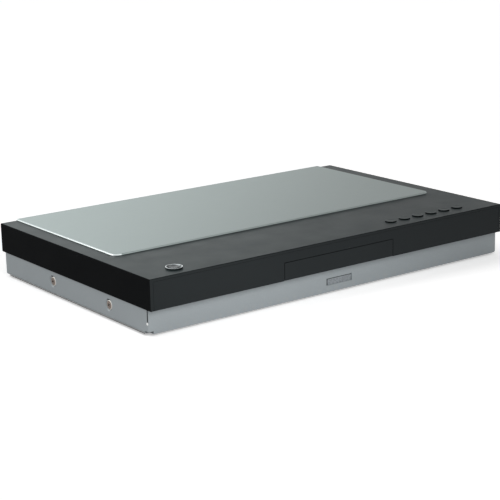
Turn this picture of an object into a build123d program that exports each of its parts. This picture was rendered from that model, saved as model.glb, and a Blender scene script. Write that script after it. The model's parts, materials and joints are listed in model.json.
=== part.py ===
from build123d import *
import os
from math import acos, cos, pi, radians, sin, sqrt, tan

# Slim disc recorder, in millimetres.
# The origin is on the surface under the middle of the body, +X to the right, +Y to the back, +Z up.

os.makedirs("parts", exist_ok=True)

# Whole body
WIDTH = 430.0
DEPTH = 275.0
FOOT_HEIGHT = 2.0
LOWER_HEIGHT = 23.0
UPPER_HEIGHT = 29.0

# Chassis of folded sheet
SHEET = 1.0
SIDE_INSET = 0.8
FRONT_INSET = 6.35
BACK_INSET = 5.35
SLIT_WIDTH = 0.9
SLIT_DEPTH = 12.9
RELIEF_RADIUS = 0.9
NOTCH_FRONT = 5.3
NOTCH_SIDE = 6.0
NOTCH_HEIGHT = 2.8
BEND_RADIUS = 2.2
FRONT_FLANGE_HEIGHT = 11.0
FLANGE_INSET = 8.0
FLANGE_GAP = 2.0
VENT_LENGTH = 26.0
VENT_WIDTH = 3.0
VENT_PITCH = 9.0
VENT_COUNT = 8
VENT_Y = 40.0
VENT_INSET = 65.0
BADGE_LEFT = -12.9
BADGE_WIDTH = 31.7
BADGE_BOTTOM = 6.7
BADGE_HEIGHT = 6.8
BADGE_MARGIN = 3.0

# Cover and fascia
COVER_WALL = 3.3
COVER_TOP = 2.5
COVER_EDGE = 0.6
REAR_LIP = 6.0
RIB_HEIGHT = 2.0
RIB_WIDTH = 1.5
RIB_PITCH = 60.0
REAR_TAB_HALF = 5.0
REAR_TAB_DEPTH = 8.0
REAR_TAB_DROP = 4.0
FASCIA_WALL = 2.5
FASCIA_GAP = 0.15
FASCIA_RETURN = 2.0
FASCIA_BOSS_RADIUS = 2.5
FASCIA_BOSS_INSET = 5.0
FASCIA_BOSS_LIFT = 3.0

# Silver panel on the top
PANEL_WIDTH = 394.0
PANEL_LENGTH = 188.5
PANEL_THICKNESS = 2.0
PANEL_RISE = 1.5
PANEL_CORNER = 8.0
PANEL_BEVEL = 1.2
PANEL_GAP = 0.15

# Feet
FOOT_RADIUS = 11.0
FOOT_INSET_X = 35.0
FOOT_INSET_Y = 37.5
PEG_RADIUS = 2.4
PEG_CLEARANCE = 0.1
PEG_LENGTH = 2.5

# Side screws
SCREW_FIRST = 71.8
SCREW_SECOND = 174.2
SCREW_HEIGHT = 12.8
SCREW_HEAD_RADIUS = 4.6
SCREW_HEAD_HEIGHT = 1.2
SCREW_SHANK_RADIUS = 1.4
SCREW_LENGTH = 5.0
SCREW_CLEARANCE = 0.15
DISH_DEPTH = 1.2
DISH_RIM = 1.2
TAB_WIDTH = 16.0
TAB_WALL = 2.0
TAB_DROP = 19.0

# Buttons on the top
KEY_Y = 19.7
KEY_FIRST_INSET = 134.0
KEY_PITCH = 18.0
KEY_RADIUS = 5.6
KEY_RISE = 1.7
KEY_FLANGE_RADIUS = 7.0
KEY_FLANGE = 0.8
KEY_GAP = 0.2
KEY_TRAVEL = 0.8
KEY_SLACK = 0.3
KEY_EDGE = 0.3
POWER_INSET = 37.6
POWER_Y = 18.2
POWER_RADIUS = 5.2
POWER_RISE = 1.5
POWER_FLANGE = 1.0
RING_RADIUS = 8.0
RING_RISE = 1.6
RING_BASE = 0.4
RING_LIP = 0.6
RING_NECK = 6.8
RING_GAP = 0.2
SWITCH_SIZE = 6.0
SWITCH_HEIGHT = 3.0
STEM_RADIUS = 1.7
STEM_HEIGHT = 0.6
BOARD = 1.6
KEY_BOARD_DEPTH = 20.0
KEY_BOARD_MARGIN = 14.0
POWER_BOARD_WIDTH = 26.0
POST_RADIUS = 1.75
POST_INSET = 4.0
POST_BACK = 5.0
POWER_POST_X = 10.0

# Display behind the fascia
DISPLAY_INSET = 87.0
DISPLAY_WIDTH = 72.0
DISPLAY_BOTTOM = 32.0
DISPLAY_HEIGHT = 12.0
DISPLAY_DEPTH = 2.8
WINDOW_MARGIN = 2.0
WINDOW_SKIN = 1.0
DISPLAY_BOARD_GAP_X = 5.3
DISPLAY_BOARD_INSET = 32.0
DISPLAY_BOARD_HEIGHT = 21.0
DISPLAY_BOARD_GAP = 0.5
DISPLAY_SEAT = 0.5

# Disc tray and its door
LOADER_X = -0.8
DOOR_WIDTH = 133.4
DOOR_HEIGHT = 16.8
DOOR_GAP = 0.5
DOOR_LIFT = 0.3
TRAY_WIDTH = 130.0
TRAY_LENGTH = 170.0
TRAY_CLEARANCE = 0.6
TRAY_HEIGHT = 9.6
TRAY_DECK = 2.0
TRAY_RAIL = 4.0
TRAY_FRONT = 2.5
DISC_RADIUS = 60.0
WELL_CLEARANCE = 1.0
WELL_WALL = 1.5
WELL_FLOOR = 1.5
WELL_FLOOR_LIFT = 3.4
SPINDLE_BACK = 65.0
SLOT_HALF = 20.0
TRAY_CORNER = 6.0
TRAY_TRAVEL = 132.0

# Gear train: stub teeth of twenty degrees
PRESSURE = radians(20.0)
ADDENDUM = 0.8
DEDENDUM = 1.1
BACKLASH = 0.2
RACK_MODULE = 1.25
RACK_SPARE = 17.0
RACK_BEFORE = 2
RACK_PITCH_X = 57.5
PINION_TEETH = 16
RING_MODULE = 1.0
RING_TEETH = 34
SMALL_TEETH = 14
GEAR_SETBACK = 27.0
RING_WIDTH = 2.8
GEAR_HUB_RADIUS = 5.0
MESH_CLEARANCE = 0.08
SHAFT_RADIUS = 1.5
SHAFT_CLEARANCE = 0.05
GEAR_GAP = 0.4
PULLEY_RADIUS = 12.5
PULLEY_WIDTH = 3.8
GROOVE_DEPTH = 1.6
BELT_WIDTH = 1.4
BELT_THICKNESS = 1.2
BELT_CLEARANCE = 0.3
MOTOR_X = 20.0
MOTOR_RADIUS = 12.0
MOTOR_HEIGHT = 8.6
MOTOR_PULLEY_RADIUS = 4.0
MOTOR_SHAFT_RADIUS = 1.0
MOTOR_HOLE_GAP = 1.0

# Loader frame
FRAME_SETBACK = 7.0
FRAME_LENGTH = 174.0
FRAME_WALL = 2.5
FRAME_SIDE_GAP = 1.0
FRAME_FLOOR = 2.0
FRAME_TOP_GAP = 1.8
SHELF_TOP = 15.5
SHELF_WALL = 1.5
SHELF_LENGTH = 31.0
LEDGE = 2.0
LEDGE_REACH = 4.5
LEDGE_GAP = 0.3
GUIDE_TAB = 1.4
GUIDE_REACH = 2.0
GUIDE_LENGTH = 12.0
GUIDE_PLACES = 3
GUIDE_FIRST = 2.0
GUIDE_PITCH = 66.0
FRAME_RIM = 6.0
LUG_HALF = 5.0
LUG_REACH = 2.0
LUG_BORE_DEPTH = 8.0
CAM_RAIL = 1.2
CAM_RAIL_HEIGHT = 1.2
CAM_RAIL_LEFT = 28.0
CAM_RAIL_RIGHT = 34.0
BRIDGE_SHEET = 1.2
BRIDGE_WIDTH = 18.0
BRIDGE_EYE = 24.0
BRIDGE_LIP = 2.4
BRIDGE_LIP_INSET = 12.0

# Clamper
CLAMPER_RADIUS = 16.5
CLAMPER_NECK = 8.0
CLAMPER_HOLE_GAP = 1.5
CLAMPER_FLANGE = 12.0
CLAMPER_DISC = 2.8
CLAMPER_GAP = 0.3
CLAMPER_CAP = 1.4
CLAMPER_BOSS_GAP = 1.0
CLAMP_LIFT = 1.6

# Traverse with spindle, pickup and feed
LIFT_ANGLE = 3.0
PIVOT_BACK = 173.5
PIVOT_Z = 15.0
PIVOT_RADIUS = 2.0
TRAVERSE_HALF = 46.0
TRAVERSE_SHEET = 3.0
TRAVERSE_FRONT = 49.5
TRAVERSE_LIP = 4.0
TRAVERSE_RIB = 2.0
TRAVERSE_RIB_HEIGHT = 2.5
PIVOT_LENGTH = 7.0
PIVOT_OVERLAP = 1.0
SLED_WINDOW_GAP = 3.0
BLOCK_LENGTH = 4.0
BLOCK_HALF = 3.0
BLOCK_GAP = 6.0
SLED_GAP = 1.5
ROD_SEAT = 1.0
CAM_PIN_RADIUS = 1.6
CAM_PIN_X = -5.0
CAM_CLEARANCE = 0.3
CAM_TRAVEL = 16.0
CAM_SHEET = 2.5
CAM_HEIGHT = 16.5
CAM_DWELL = 2.0
CAM_EDGE = 5.0
SEAT_Z = 32.0
TURNTABLE_RADIUS = 14.5
HUB_RADIUS = 7.4
HUB_RISE = 2.2
ROTOR_RADIUS = 13.5
ROTOR_HEIGHT = 7.0
SPINDLE_SHAFT = 1.0
SPINDLE_PLATE = 1.2
SPINDLE_PLATE_X = 34.0
SPINDLE_PLATE_Y = 26.0
SPINDLE_BUSH = 4.0
SPINDLE_BUSH_DROP = 1.0
SPINDLE_BUSH_GAP = 0.2
ROTOR_GAP = 0.5
TURNTABLE_NECK = 9.5
TURNTABLE_SHEET = 2.4
TURNTABLE_BAND = 4.0
TURNTABLE_DISH = 0.5
HUB_SIDE = 0.8
HUB_TAPER = 2.5
LENS_RADIUS = 4.0
LENS_X_BACK = 24.0
LENS_FOCUS = 0.4
LENS_SINK = 3.3
LENS_FLOOR_GAP = 0.3
LENS_CLEARANCE = 0.5
LENS_RIM = 1.6
LENS_RIM_WIDTH = 1.4
LENS_STEP = 0.8
LENS_CROWN = 2.6
SLED_TRAVEL = 35.0
SLED_LENGTH = 32.0
SLED_HALF = 27.0
SLED_BOTTOM = 11.0
SLED_TOP = 23.0
TOWER_TOP = 27.5
TOWER_SIDE = 14.0
SLED_CORNER = 3.0
ROD_X = 22.0
ROD_Z = 18.5
ROD_RADIUS = 1.5
SCREW_X = 34.0
SCREW_Z = 20.5
LEAD_RADIUS = 1.5
LEAD_GAP = 0.4
FEED_SHAFT = 1.0
FEED_SHAFT_LENGTH = 4.0
FEED_RADIUS = 4.0
FEED_LENGTH = 15.0
NUT_LENGTH = 8.0
NUT_WALL = 2.0
NUT_LIFT = 0.6
NUT_CLEARANCE = 0.3
NUT_SETBACK = 18.0

# Rear panel and sockets
REAR_INSET = 8.5
REAR_TOP_GAP = 0.3
JACK_RADIUS = 4.15
JACK_NECK = 3.8
JACK_BORE = 1.6
JACK_REACH = 8.2
JACK_RING_RADIUS = 5.6
JACK_RING = 1.2
JACK_HOLE_GAP = 0.3
JACK_PITCH_Z = 12.5
JACK_PITCH_X = 16.0
JACK_FIRST_INSET = 119.0
JACK_FIRST_Z = 16.0
JACK_ROWS = 3
JACK_COLUMNS = 3
JACK_BLOCK = 11.0
JACK_BLOCK_DEPTH = 13.0
AERIAL_RADIUS = 4.75
AERIAL_NECK = 4.4
AERIAL_BORE = 1.5
AERIAL_INSET = 30.0
AERIAL_LOW_Z = 17.0
AERIAL_PITCH = 15.0
INLET_INSET = 30.0
INLET_Z = 22.0
INLET_WIDTH = 24.0
INLET_HEIGHT = 15.0
INLET_FLANGE = 1.5
INLET_CAVITY = 16.8
INLET_CAVITY_HEIGHT = 8.4
INLET_DEPTH = 13.0
INLET_WALL = 1.6
PIN_PITCH = 8.6
PIN_RADIUS = 1.2
PIN_SETBACK = 2.0
DIGITAL_INSET = 68.0
DIGITAL_Z = 14.0
DIGITAL_WIDTH = 15.0
DIGITAL_HEIGHT = 6.0
DIGITAL_WALL = 0.6
DIGITAL_DEPTH = 11.0
DIGITAL_BACK = 2.0
TONGUE_WIDTH = 9.0
TONGUE_HEIGHT = 1.6
REAR_SCREW_Z = 46.0
REAR_SCREW_INSET = 55.0

# Fan
FAN_X = -42.0
FAN_SIZE = 40.0
FAN_DEPTH = 10.0
FAN_BORE = 18.6
FAN_TIP = 17.8
FAN_HUB = 8.0
FAN_BLADES = 7
FAN_PITCH_ANGLE = 35.0
BLADE_SHEET = 1.2
BLADE_ROOT = 0.6
BLADE_FILL = 0.9
ARM_WIDTH = 2.4
ARM_SHEET = 1.5
ARM_ROOT = 1.0
FAN_GAP = 0.5
FAN_END_GAP = 1.0
FAN_SHAFT_LENGTH = 6.0
FAN_LIFT = 2.0
GRILLE_BARS = 7
GRILLE_SLOT = 2.6
GRILLE_PITCH = 4.6

# Boards and large parts on them
STANDOFF = 5.0
STANDOFF_RADIUS = 3.0
PCB_INSET = 7.0
PCB_GAP = 2.0
POWER_PCB_WIDTH = 123.0
MAIN_PCB_WIDTH = 124.0
POWER_PCB_LENGTH = 112.0
MAIN_PCB_LENGTH = 190.0
PCB_MARGIN = 6.0
TRANSFORMER_WIDTH = 36.0
TRANSFORMER_LENGTH = 32.0
TRANSFORMER_HEIGHT = 26.0
TRANSFORMER_LEFT = 30.0
WINDING_BULGE = 2.0
WINDING_LENGTH = 16.0
WINDING_LIFT = 6.0
LARGE_PARTS_BACK = 66.0
BULK_RADIUS = 11.0
BULK_HEIGHT = 27.0
BULK_LEFT = 72.0
BULK_BACK = 30.0
SMALL_CAP_RADIUS = 5.0
SMALL_CAP_HEIGHT = 16.0
SMALL_CAP_LEFT = 70.0
SMALL_CAP_BACK = 96.0
SMALL_CAP_PITCH = 13.0
SMALL_CAP_COUNT = 3
SINK_LEFT = 84.0
SINK_LENGTH = 42.0
SINK_HEIGHT = 25.0
SINK_FINS = 6
SINK_FIN = 1.6
SINK_FOOT = 3.2
SINK_PITCH = 4.0
CHIP_COLUMN = 60.0
CHIP_LEFT_COLUMN = 95.0
CHIP_RIGHT_COLUMN = 40.0
PROCESSOR = 28.0
PROCESSOR_BACK = 30.0
ENCODER = 20.0
ENCODER_BACK = 80.0
MEMORY = 16.0
MEMORY_BACK = 60.0
SOUND_CHIP = 14.0
SOUND_CHIP_BACK = 110.0
DRIVE_CHIP = 18.0
DRIVE_CHIP_BACK = 140.0
CHIP_HEIGHT = 1.8
TUNER_WIDTH = 46.0
TUNER_LENGTH = 52.0
TUNER_HEIGHT = 27.0
TUNER_CORNER = 1.0

# Levels and edges that follow from the sizes above
left, right = -WIDTH / 2, WIDTH / 2
front, back = -DEPTH / 2, DEPTH / 2
base_z = FOOT_HEIGHT
floor_z = base_z + SHEET
seam_z = base_z + LOWER_HEIGHT
top_z = seam_z + UPPER_HEIGHT
under_top_z = top_z - COVER_TOP
chassis_x = right - SIDE_INSET
chassis_front = front + FRONT_INSET
chassis_back = back - BACK_INSET
rear_face = back - REAR_INSET
rear_inner = rear_face - SHEET
fascia_back = front + FASCIA_WALL
key_y = front + KEY_Y
power_y = front + POWER_Y
screw_ys = (front + SCREW_FIRST, front + SCREW_SECOND)
foot_x, foot_y = right - FOOT_INSET_X, back - FOOT_INSET_Y
key_xs = [right - KEY_FIRST_INSET + KEY_PITCH * i for i in range(6)]
power_x = left + POWER_INSET
display_x = right - DISPLAY_INSET
aerial_x = right - AERIAL_INSET
inlet_x = left + INLET_INSET
digital_x = right - DIGITAL_INSET
rear_screw_xs = (left + REAR_SCREW_INSET, 0, right - REAR_SCREW_INSET)
power_pcb_left = left + PCB_INSET
main_pcb_right = right - PCB_INSET
pcb_back = rear_inner - PCB_GAP
screw_bore = SCREW_SHANK_RADIUS + SCREW_CLEARANCE
key_flange_top = under_top_z - KEY_SLACK
key_foot = key_flange_top - KEY_FLANGE
stem_top = key_foot - KEY_TRAVEL - KEY_SLACK
key_board_top = stem_top - STEM_HEIGHT - SWITCH_HEIGHT
key_board_z = key_board_top - BOARD
tray_z = seam_z + TRAY_CLEARANCE
tray_top = tray_z + TRAY_HEIGHT
tray_front = fascia_back
tray_back = tray_front + TRAY_LENGTH
spindle_y = front + SPINDLE_BACK + FASCIA_WALL
well_floor_z = tray_z + WELL_FLOOR_LIFT
well_radius = DISC_RADIUS + WELL_CLEARANCE
rail_x = TRAY_WIDTH / 2
frame_inner = rail_x + FRAME_SIDE_GAP
frame_outer = frame_inner + FRAME_WALL
frame_front = fascia_back + FRAME_SETBACK
frame_back = frame_front + FRAME_LENGTH
frame_top = tray_top + FRAME_TOP_GAP
bridge_z = frame_top
pinion_radius = RACK_MODULE * PINION_TEETH / 2
ring_radius = RING_MODULE * RING_TEETH / 2
gear_bore = SHAFT_RADIUS + SHAFT_CLEARANCE
small_radius = RING_MODULE * SMALL_TEETH / 2
gear_x = LOADER_X - RACK_PITCH_X + pinion_radius + MESH_CLEARANCE
gear_y = front + FASCIA_WALL + GEAR_SETBACK
pulley_x = gear_x + ring_radius + small_radius + MESH_CLEARANCE
motor_x = LOADER_X + MOTOR_X
pulley_z = SHELF_TOP + GEAR_GAP
ring_z = pulley_z + PULLEY_WIDTH + GEAR_GAP
ring_top = ring_z + RING_WIDTH
pinion_z = tray_z + GEAR_GAP / 2
pinion_top = well_floor_z - GEAR_GAP
ledge_top = tray_z - LEDGE_GAP
pivot_y = front + PIVOT_BACK
traverse_top = PIVOT_Z + TRAVERSE_SHEET / 2
traverse_bottom = traverse_top - TRAVERSE_SHEET
traverse_front = front + TRAVERSE_FRONT
cam_back = traverse_front - 3 * CAM_CLEARANCE - TRAVERSE_RIB
cam_front = cam_back - CAM_SHEET
cam_pin_end = cam_front - 2 * CAM_CLEARANCE
cam_drop = (pivot_y - (cam_back + cam_front) / 2) * sin(radians(LIFT_ANGLE))
cam_pin_x = LOADER_X + CAM_PIN_X
cam_z = floor_z + FRAME_FLOOR + CAM_CLEARANCE
lens_y = spindle_y + LENS_X_BACK
sled_front = lens_y - TOWER_SIDE / 2 - 1.0
sled_back = sled_front + SLED_LENGTH
nut_y = sled_front + NUT_SETBACK
rod_ends = (sled_front - BLOCK_GAP, sled_back + SLED_TRAVEL + BLOCK_GAP)
rod_start = rod_ends[0] + ROD_SEAT
rod_length = rod_ends[1] - rod_ends[0] + BLOCK_LENGTH - 2 * ROD_SEAT
lead_x = LOADER_X + SCREW_X
feed_front = sled_front - SLED_GAP
feed_back = feed_front + FEED_LENGTH
clamp_seat = SEAT_Z + CLAMP_LIFT
board_z = floor_z + STANDOFF
board_top = board_z + BOARD
fan_z = floor_z + FAN_LIFT + FAN_SIZE / 2
mid = LOADER_X


def prism(x, y, z, mode=Mode.ADD):
    """Extrude a rectangle with the given limits from the first level to the second."""
    with BuildSketch(Plane.XY.offset(z[0])) as outline:
        with Locations(((x[0] + x[1]) / 2, (y[0] + y[1]) / 2)):
            Rectangle(x[1] - x[0], y[1] - y[0])
    extrude(outline.sketch, amount=z[1] - z[0], mode=mode)


def channel(half_width, y, z, radius, mode=Mode.ADD):
    """Extrude along Y a rectangle centred on X, with its two lower corners rounded."""
    with BuildSketch(Plane.XZ.offset(-y[0])) as section:
        with Locations((0, (z[0] + z[1]) / 2)):
            Rectangle(2 * half_width, z[1] - z[0])
        fillet(section.vertices().group_by(Axis.Y)[0], radius)
    extrude(section.sketch, amount=y[0] - y[1], mode=mode)


def rod(start, direction, radius, length, mode=Mode.ADD):
    """Extrude a circle from a point along a direction."""
    with BuildSketch(Plane(origin=start, z_dir=direction)) as section:
        Circle(radius)
    extrude(section.sketch, amount=length, mode=mode)


def turned(points, centre, mode=Mode.ADD):
    """Revolve an outline of radius and height points about an upright line at the centre."""
    plane = Plane(origin=(centre[0], centre[1], 0), x_dir=(1, 0, 0), z_dir=(0, -1, 0))
    with BuildSketch(plane) as section:
        with BuildLine():
            Polyline(*points, close=True)
        make_face()
    revolve(section.sketch, axis=Axis((centre[0], centre[1], 0), (0, 0, 1)), mode=mode)


def both(x):
    """The two X values of a mirrored pair."""
    return (-x, x)


def tooth_angles(teeth, module):
    """Pairs of radius and half angle down one flank of a spur tooth, from root to tip."""
    pitch = module * teeth / 2
    base = pitch * cos(PRESSURE)
    root, tip = pitch - DEDENDUM * module, pitch + ADDENDUM * module
    at_pitch = pi / (2 * teeth) - BACKLASH / (2 * pitch)

    def half(radius):
        angle = acos(min(base / radius, 1.0))
        return at_pitch + tan(PRESSURE) - PRESSURE - tan(angle) + angle

    return [(root, half(max(root, base))), (pitch, half(pitch)), (tip, half(tip))]


def spur_points(teeth, module, centre, phase):
    """Points round a spur gear whose first tooth points along the phase angle."""
    flank = tooth_angles(teeth, module)
    points = []
    for i in range(teeth):
        middle = phase + 2 * pi * i / teeth
        for radius, half in flank:
            points.append((centre[0] + radius * cos(middle - half), centre[1] + radius * sin(middle - half)))
        for radius, half in reversed(flank):
            points.append((centre[0] + radius * cos(middle + half), centre[1] + radius * sin(middle + half)))
    return points


def spur(teeth, module, centre, phase, z):
    """Extrude a spur gear between two levels."""
    with BuildSketch(Plane.XY.offset(z[0])) as outline:
        with BuildLine():
            Polyline(*spur_points(teeth, module, centre, phase), close=True)
        make_face()
    extrude(outline.sketch, amount=z[1] - z[0])


def rack_points(teeth, module, first, pitch_line, back_line, facing):
    """Points of a straight rack along one axis: (along, across), teeth facing across by the sign given."""
    pitch = pi * module
    tip, root = pitch_line + facing * ADDENDUM * module, pitch_line - facing * DEDENDUM * module
    at_tip = pitch / 4 - ADDENDUM * module * tan(PRESSURE) - BACKLASH / 2
    at_root = pitch / 4 + DEDENDUM * module * tan(PRESSURE) - BACKLASH / 2
    points = [(first - pitch / 2, back_line), (first - pitch / 2, root)]
    for i in range(teeth):
        middle = first + pitch * i
        points += [(middle - at_root, root), (middle - at_tip, tip)]
        points += [(middle + at_tip, tip), (middle + at_root, root)]
    last = first + pitch * (teeth - 0.5)
    points += [(last, root), (last, back_line)]
    return points


# Lower chassis: a tray of folded sheet with slit corners
with BuildPart() as base_chassis:
    channel(chassis_x, (chassis_front, chassis_back), (base_z, seam_z), BEND_RADIUS)
    inner_y = (chassis_front + SHEET, chassis_back + SHEET)
    channel(chassis_x - SHEET, inner_y, (floor_z, seam_z + SHEET), BEND_RADIUS - SHEET, Mode.SUBTRACT)
    flange_z = (seam_z - SHEET, seam_z + FRONT_FLANGE_HEIGHT)
    flange_left = (-chassis_x + FLANGE_INSET, mid - frame_outer - FLANGE_GAP)
    flange_right = (mid + frame_outer + FLANGE_GAP, chassis_x - FLANGE_INSET)
    for flange_span in (flange_left, flange_right):
        prism(flange_span, (chassis_front, chassis_front + SHEET), flange_z)
    slit_y = (chassis_front + SHEET, chassis_front + SHEET + SLIT_WIDTH)
    for side in (-1, 1):
        slit = sorted((side * chassis_x, side * (chassis_x - SHEET)))
        prism(slit, slit_y, (seam_z - SLIT_DEPTH, seam_z + SHEET), Mode.SUBTRACT)
        relief = (side * chassis_x, slit_y[1], seam_z - SLIT_DEPTH)
        rod(relief, (-side, 0, 0), RELIEF_RADIUS, SHEET, Mode.SUBTRACT)
    prism(
        (-chassis_x, -chassis_x + NOTCH_FRONT),
        (chassis_front, chassis_front + NOTCH_SIDE),
        (base_z, base_z + NOTCH_HEIGHT),
        Mode.SUBTRACT,
    )
    prism(
        (BADGE_LEFT, BADGE_LEFT + BADGE_WIDTH),
        (chassis_front, chassis_front + SHEET),
        (base_z + BADGE_BOTTOM, base_z + BADGE_BOTTOM + BADGE_HEIGHT),
        Mode.SUBTRACT,
    )
    for x in both(right - VENT_INSET):
        with BuildSketch(Plane.XY.offset(base_z)):
            with Locations((x, VENT_Y)):
                with GridLocations(VENT_PITCH, VENT_LENGTH + VENT_PITCH, VENT_COUNT, 2):
                    Rectangle(VENT_WIDTH, VENT_LENGTH)
        extrude(amount=SHEET, mode=Mode.SUBTRACT)
    with BuildSketch(Plane.XY.offset(base_z)):
        with GridLocations(2 * foot_x, 2 * foot_y, 2, 2):
            Circle(PEG_RADIUS + PEG_CLEARANCE)
    extrude(amount=SHEET, mode=Mode.SUBTRACT)
    power_posts = [
        (x, y)
        for x in (power_pcb_left + PCB_MARGIN, power_pcb_left + POWER_PCB_WIDTH - PCB_MARGIN)
        for y in (pcb_back - PCB_MARGIN, pcb_back - POWER_PCB_LENGTH + PCB_MARGIN)
    ]
    main_posts = [
        (x, y)
        for x in (main_pcb_right - PCB_MARGIN, main_pcb_right - MAIN_PCB_WIDTH + PCB_MARGIN)
        for y in (pcb_back - PCB_MARGIN, pcb_back - MAIN_PCB_LENGTH + PCB_MARGIN)
    ]
    for x, y in power_posts + main_posts:
        rod((x, y, floor_z), (0, 0, 1), STANDOFF_RADIUS, STANDOFF)
    for x, outward in ((-chassis_x, -1), (chassis_x, 1)):
        for y in screw_ys:
            centre = (x - outward * SHEET, y, base_z + SCREW_HEIGHT)
            rod(centre, (-outward, 0, 0), SCREW_HEAD_RADIUS + 2 * DISH_RIM, DISH_DEPTH)
            face = Plane(origin=(x, y, base_z + SCREW_HEIGHT), z_dir=(-outward, 0, 0))
            with BuildSketch(face):
                Circle(SCREW_HEAD_RADIUS + DISH_RIM)
            with BuildSketch(face.offset(DISH_DEPTH)):
                Circle(SCREW_HEAD_RADIUS + SCREW_CLEARANCE)
            loft(mode=Mode.SUBTRACT)
            rod(face.origin, (-outward, 0, 0), screw_bore, 4 * SHEET, Mode.SUBTRACT)
base_chassis.part.label = "base_chassis"
export_step(base_chassis.part, "parts/base_chassis.step")

# Bare plate behind the badge opening
with BuildPart() as badge_plate:
    prism(
        (BADGE_LEFT - BADGE_MARGIN, BADGE_LEFT + BADGE_WIDTH + BADGE_MARGIN),
        (chassis_front + SHEET, chassis_front + 2 * SHEET),
        (base_z + BADGE_BOTTOM - BADGE_MARGIN, base_z + BADGE_BOTTOM + BADGE_HEIGHT + BADGE_MARGIN),
    )
badge_plate.part.label = "badge_plate"
export_step(badge_plate.part, "parts/badge_plate.step")

# Feet with pegs through the chassis floor
with BuildPart() as feet:
    with BuildSketch():
        with GridLocations(2 * foot_x, 2 * foot_y, 2, 2):
            Circle(FOOT_RADIUS)
    extrude(amount=FOOT_HEIGHT)
    with BuildSketch(Plane.XY.offset(FOOT_HEIGHT)):
        with GridLocations(2 * foot_x, 2 * foot_y, 2, 2):
            Circle(PEG_RADIUS)
    extrude(amount=PEG_LENGTH)
feet.part.label = "feet"
export_step(feet.part, "parts/feet.step")

# Upper cover: a moulded lid with button holes, a recess for the panel and screw tabs
with BuildPart() as upper_cover:
    prism((left, right), (front, back), (seam_z, top_z))
    chamfer(upper_cover.faces().sort_by(Axis.Z)[-1].edges(), COVER_EDGE)
    room = both(right - COVER_WALL)
    prism(room, (front - SHEET, back - COVER_WALL), (seam_z - SHEET, under_top_z), Mode.SUBTRACT)
    prism(room, (back - 2 * COVER_WALL, back + SHEET), (seam_z - SHEET, top_z - REAR_LIP), Mode.SUBTRACT)
    recess_z = top_z + PANEL_RISE - PANEL_THICKNESS
    with BuildSketch(Plane.XY.offset(recess_z)):
        with Locations((0, back - PANEL_LENGTH / 2)):
            Rectangle(PANEL_WIDTH + 2 * PANEL_GAP, PANEL_LENGTH + 2 * PANEL_GAP)
        corners = vertices().group_by(Axis.Y)[0]
        fillet(corners, PANEL_CORNER)
    extrude(amount=COVER_TOP, mode=Mode.SUBTRACT)
    for y in (-RIB_PITCH / 2, RIB_PITCH / 2, 1.5 * RIB_PITCH):
        prism(room, (y, y + RIB_WIDTH), (under_top_z - RIB_HEIGHT, under_top_z))
    for x in key_xs:
        rod((x, key_y, under_top_z), (0, 0, 1), KEY_RADIUS + KEY_GAP, COVER_TOP, Mode.SUBTRACT)
    rod((power_x, power_y, under_top_z), (0, 0, 1), RING_NECK, COVER_TOP, Mode.SUBTRACT)
    post_reach = KEY_BOARD_MARGIN - POST_INSET
    key_posts = (key_xs[0] - post_reach, key_xs[-1] + post_reach)
    power_key_posts = (power_x - POWER_POST_X, power_x + POWER_POST_X)
    for x in key_posts + power_key_posts:
        rod((x, key_y + POST_BACK, key_board_top), (0, 0, 1), POST_RADIUS, under_top_z - key_board_top)
    for side in (-1, 1):
        for y in screw_ys:
            outer = side * (chassis_x - SHEET - DISH_DEPTH)
            tab = sorted((outer, outer - side * TAB_WALL))
            prism(tab, (y - TAB_WIDTH / 2, y + TAB_WIDTH / 2), (seam_z - TAB_DROP, seam_z + TAB_DROP / 2))
            rod((outer, y, base_z + SCREW_HEIGHT), (-side, 0, 0), screw_bore, TAB_WALL, Mode.SUBTRACT)
    for x in rear_screw_xs:
        rear_tab_z = (REAR_SCREW_Z - REAR_TAB_DROP, under_top_z)
        prism((x - REAR_TAB_HALF, x + REAR_TAB_HALF), (rear_inner - REAR_TAB_DEPTH, rear_inner), rear_tab_z)
        rod((x, rear_inner, REAR_SCREW_Z), (0, -1, 0), screw_bore, SCREW_LENGTH, Mode.SUBTRACT)
upper_cover.part.label = "upper_cover"
export_step(upper_cover.part, "parts/upper_cover.step")

# Silver panel, bevelled along its front and sides
with BuildPart() as top_panel:
    with BuildSketch(Plane.XY.offset(recess_z)):
        with Locations((0, back - PANEL_LENGTH / 2)):
            Rectangle(PANEL_WIDTH, PANEL_LENGTH)
        fillet(vertices().group_by(Axis.Y)[0], PANEL_CORNER)
    extrude(amount=PANEL_THICKNESS)
    rim = top_panel.faces().sort_by(Axis.Z)[-1].edges().sort_by(Axis.Y)[:-1]
    chamfer(rim, PANEL_BEVEL)
top_panel.part.label = "top_panel"
export_step(top_panel.part, "parts/top_panel.step")

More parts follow.
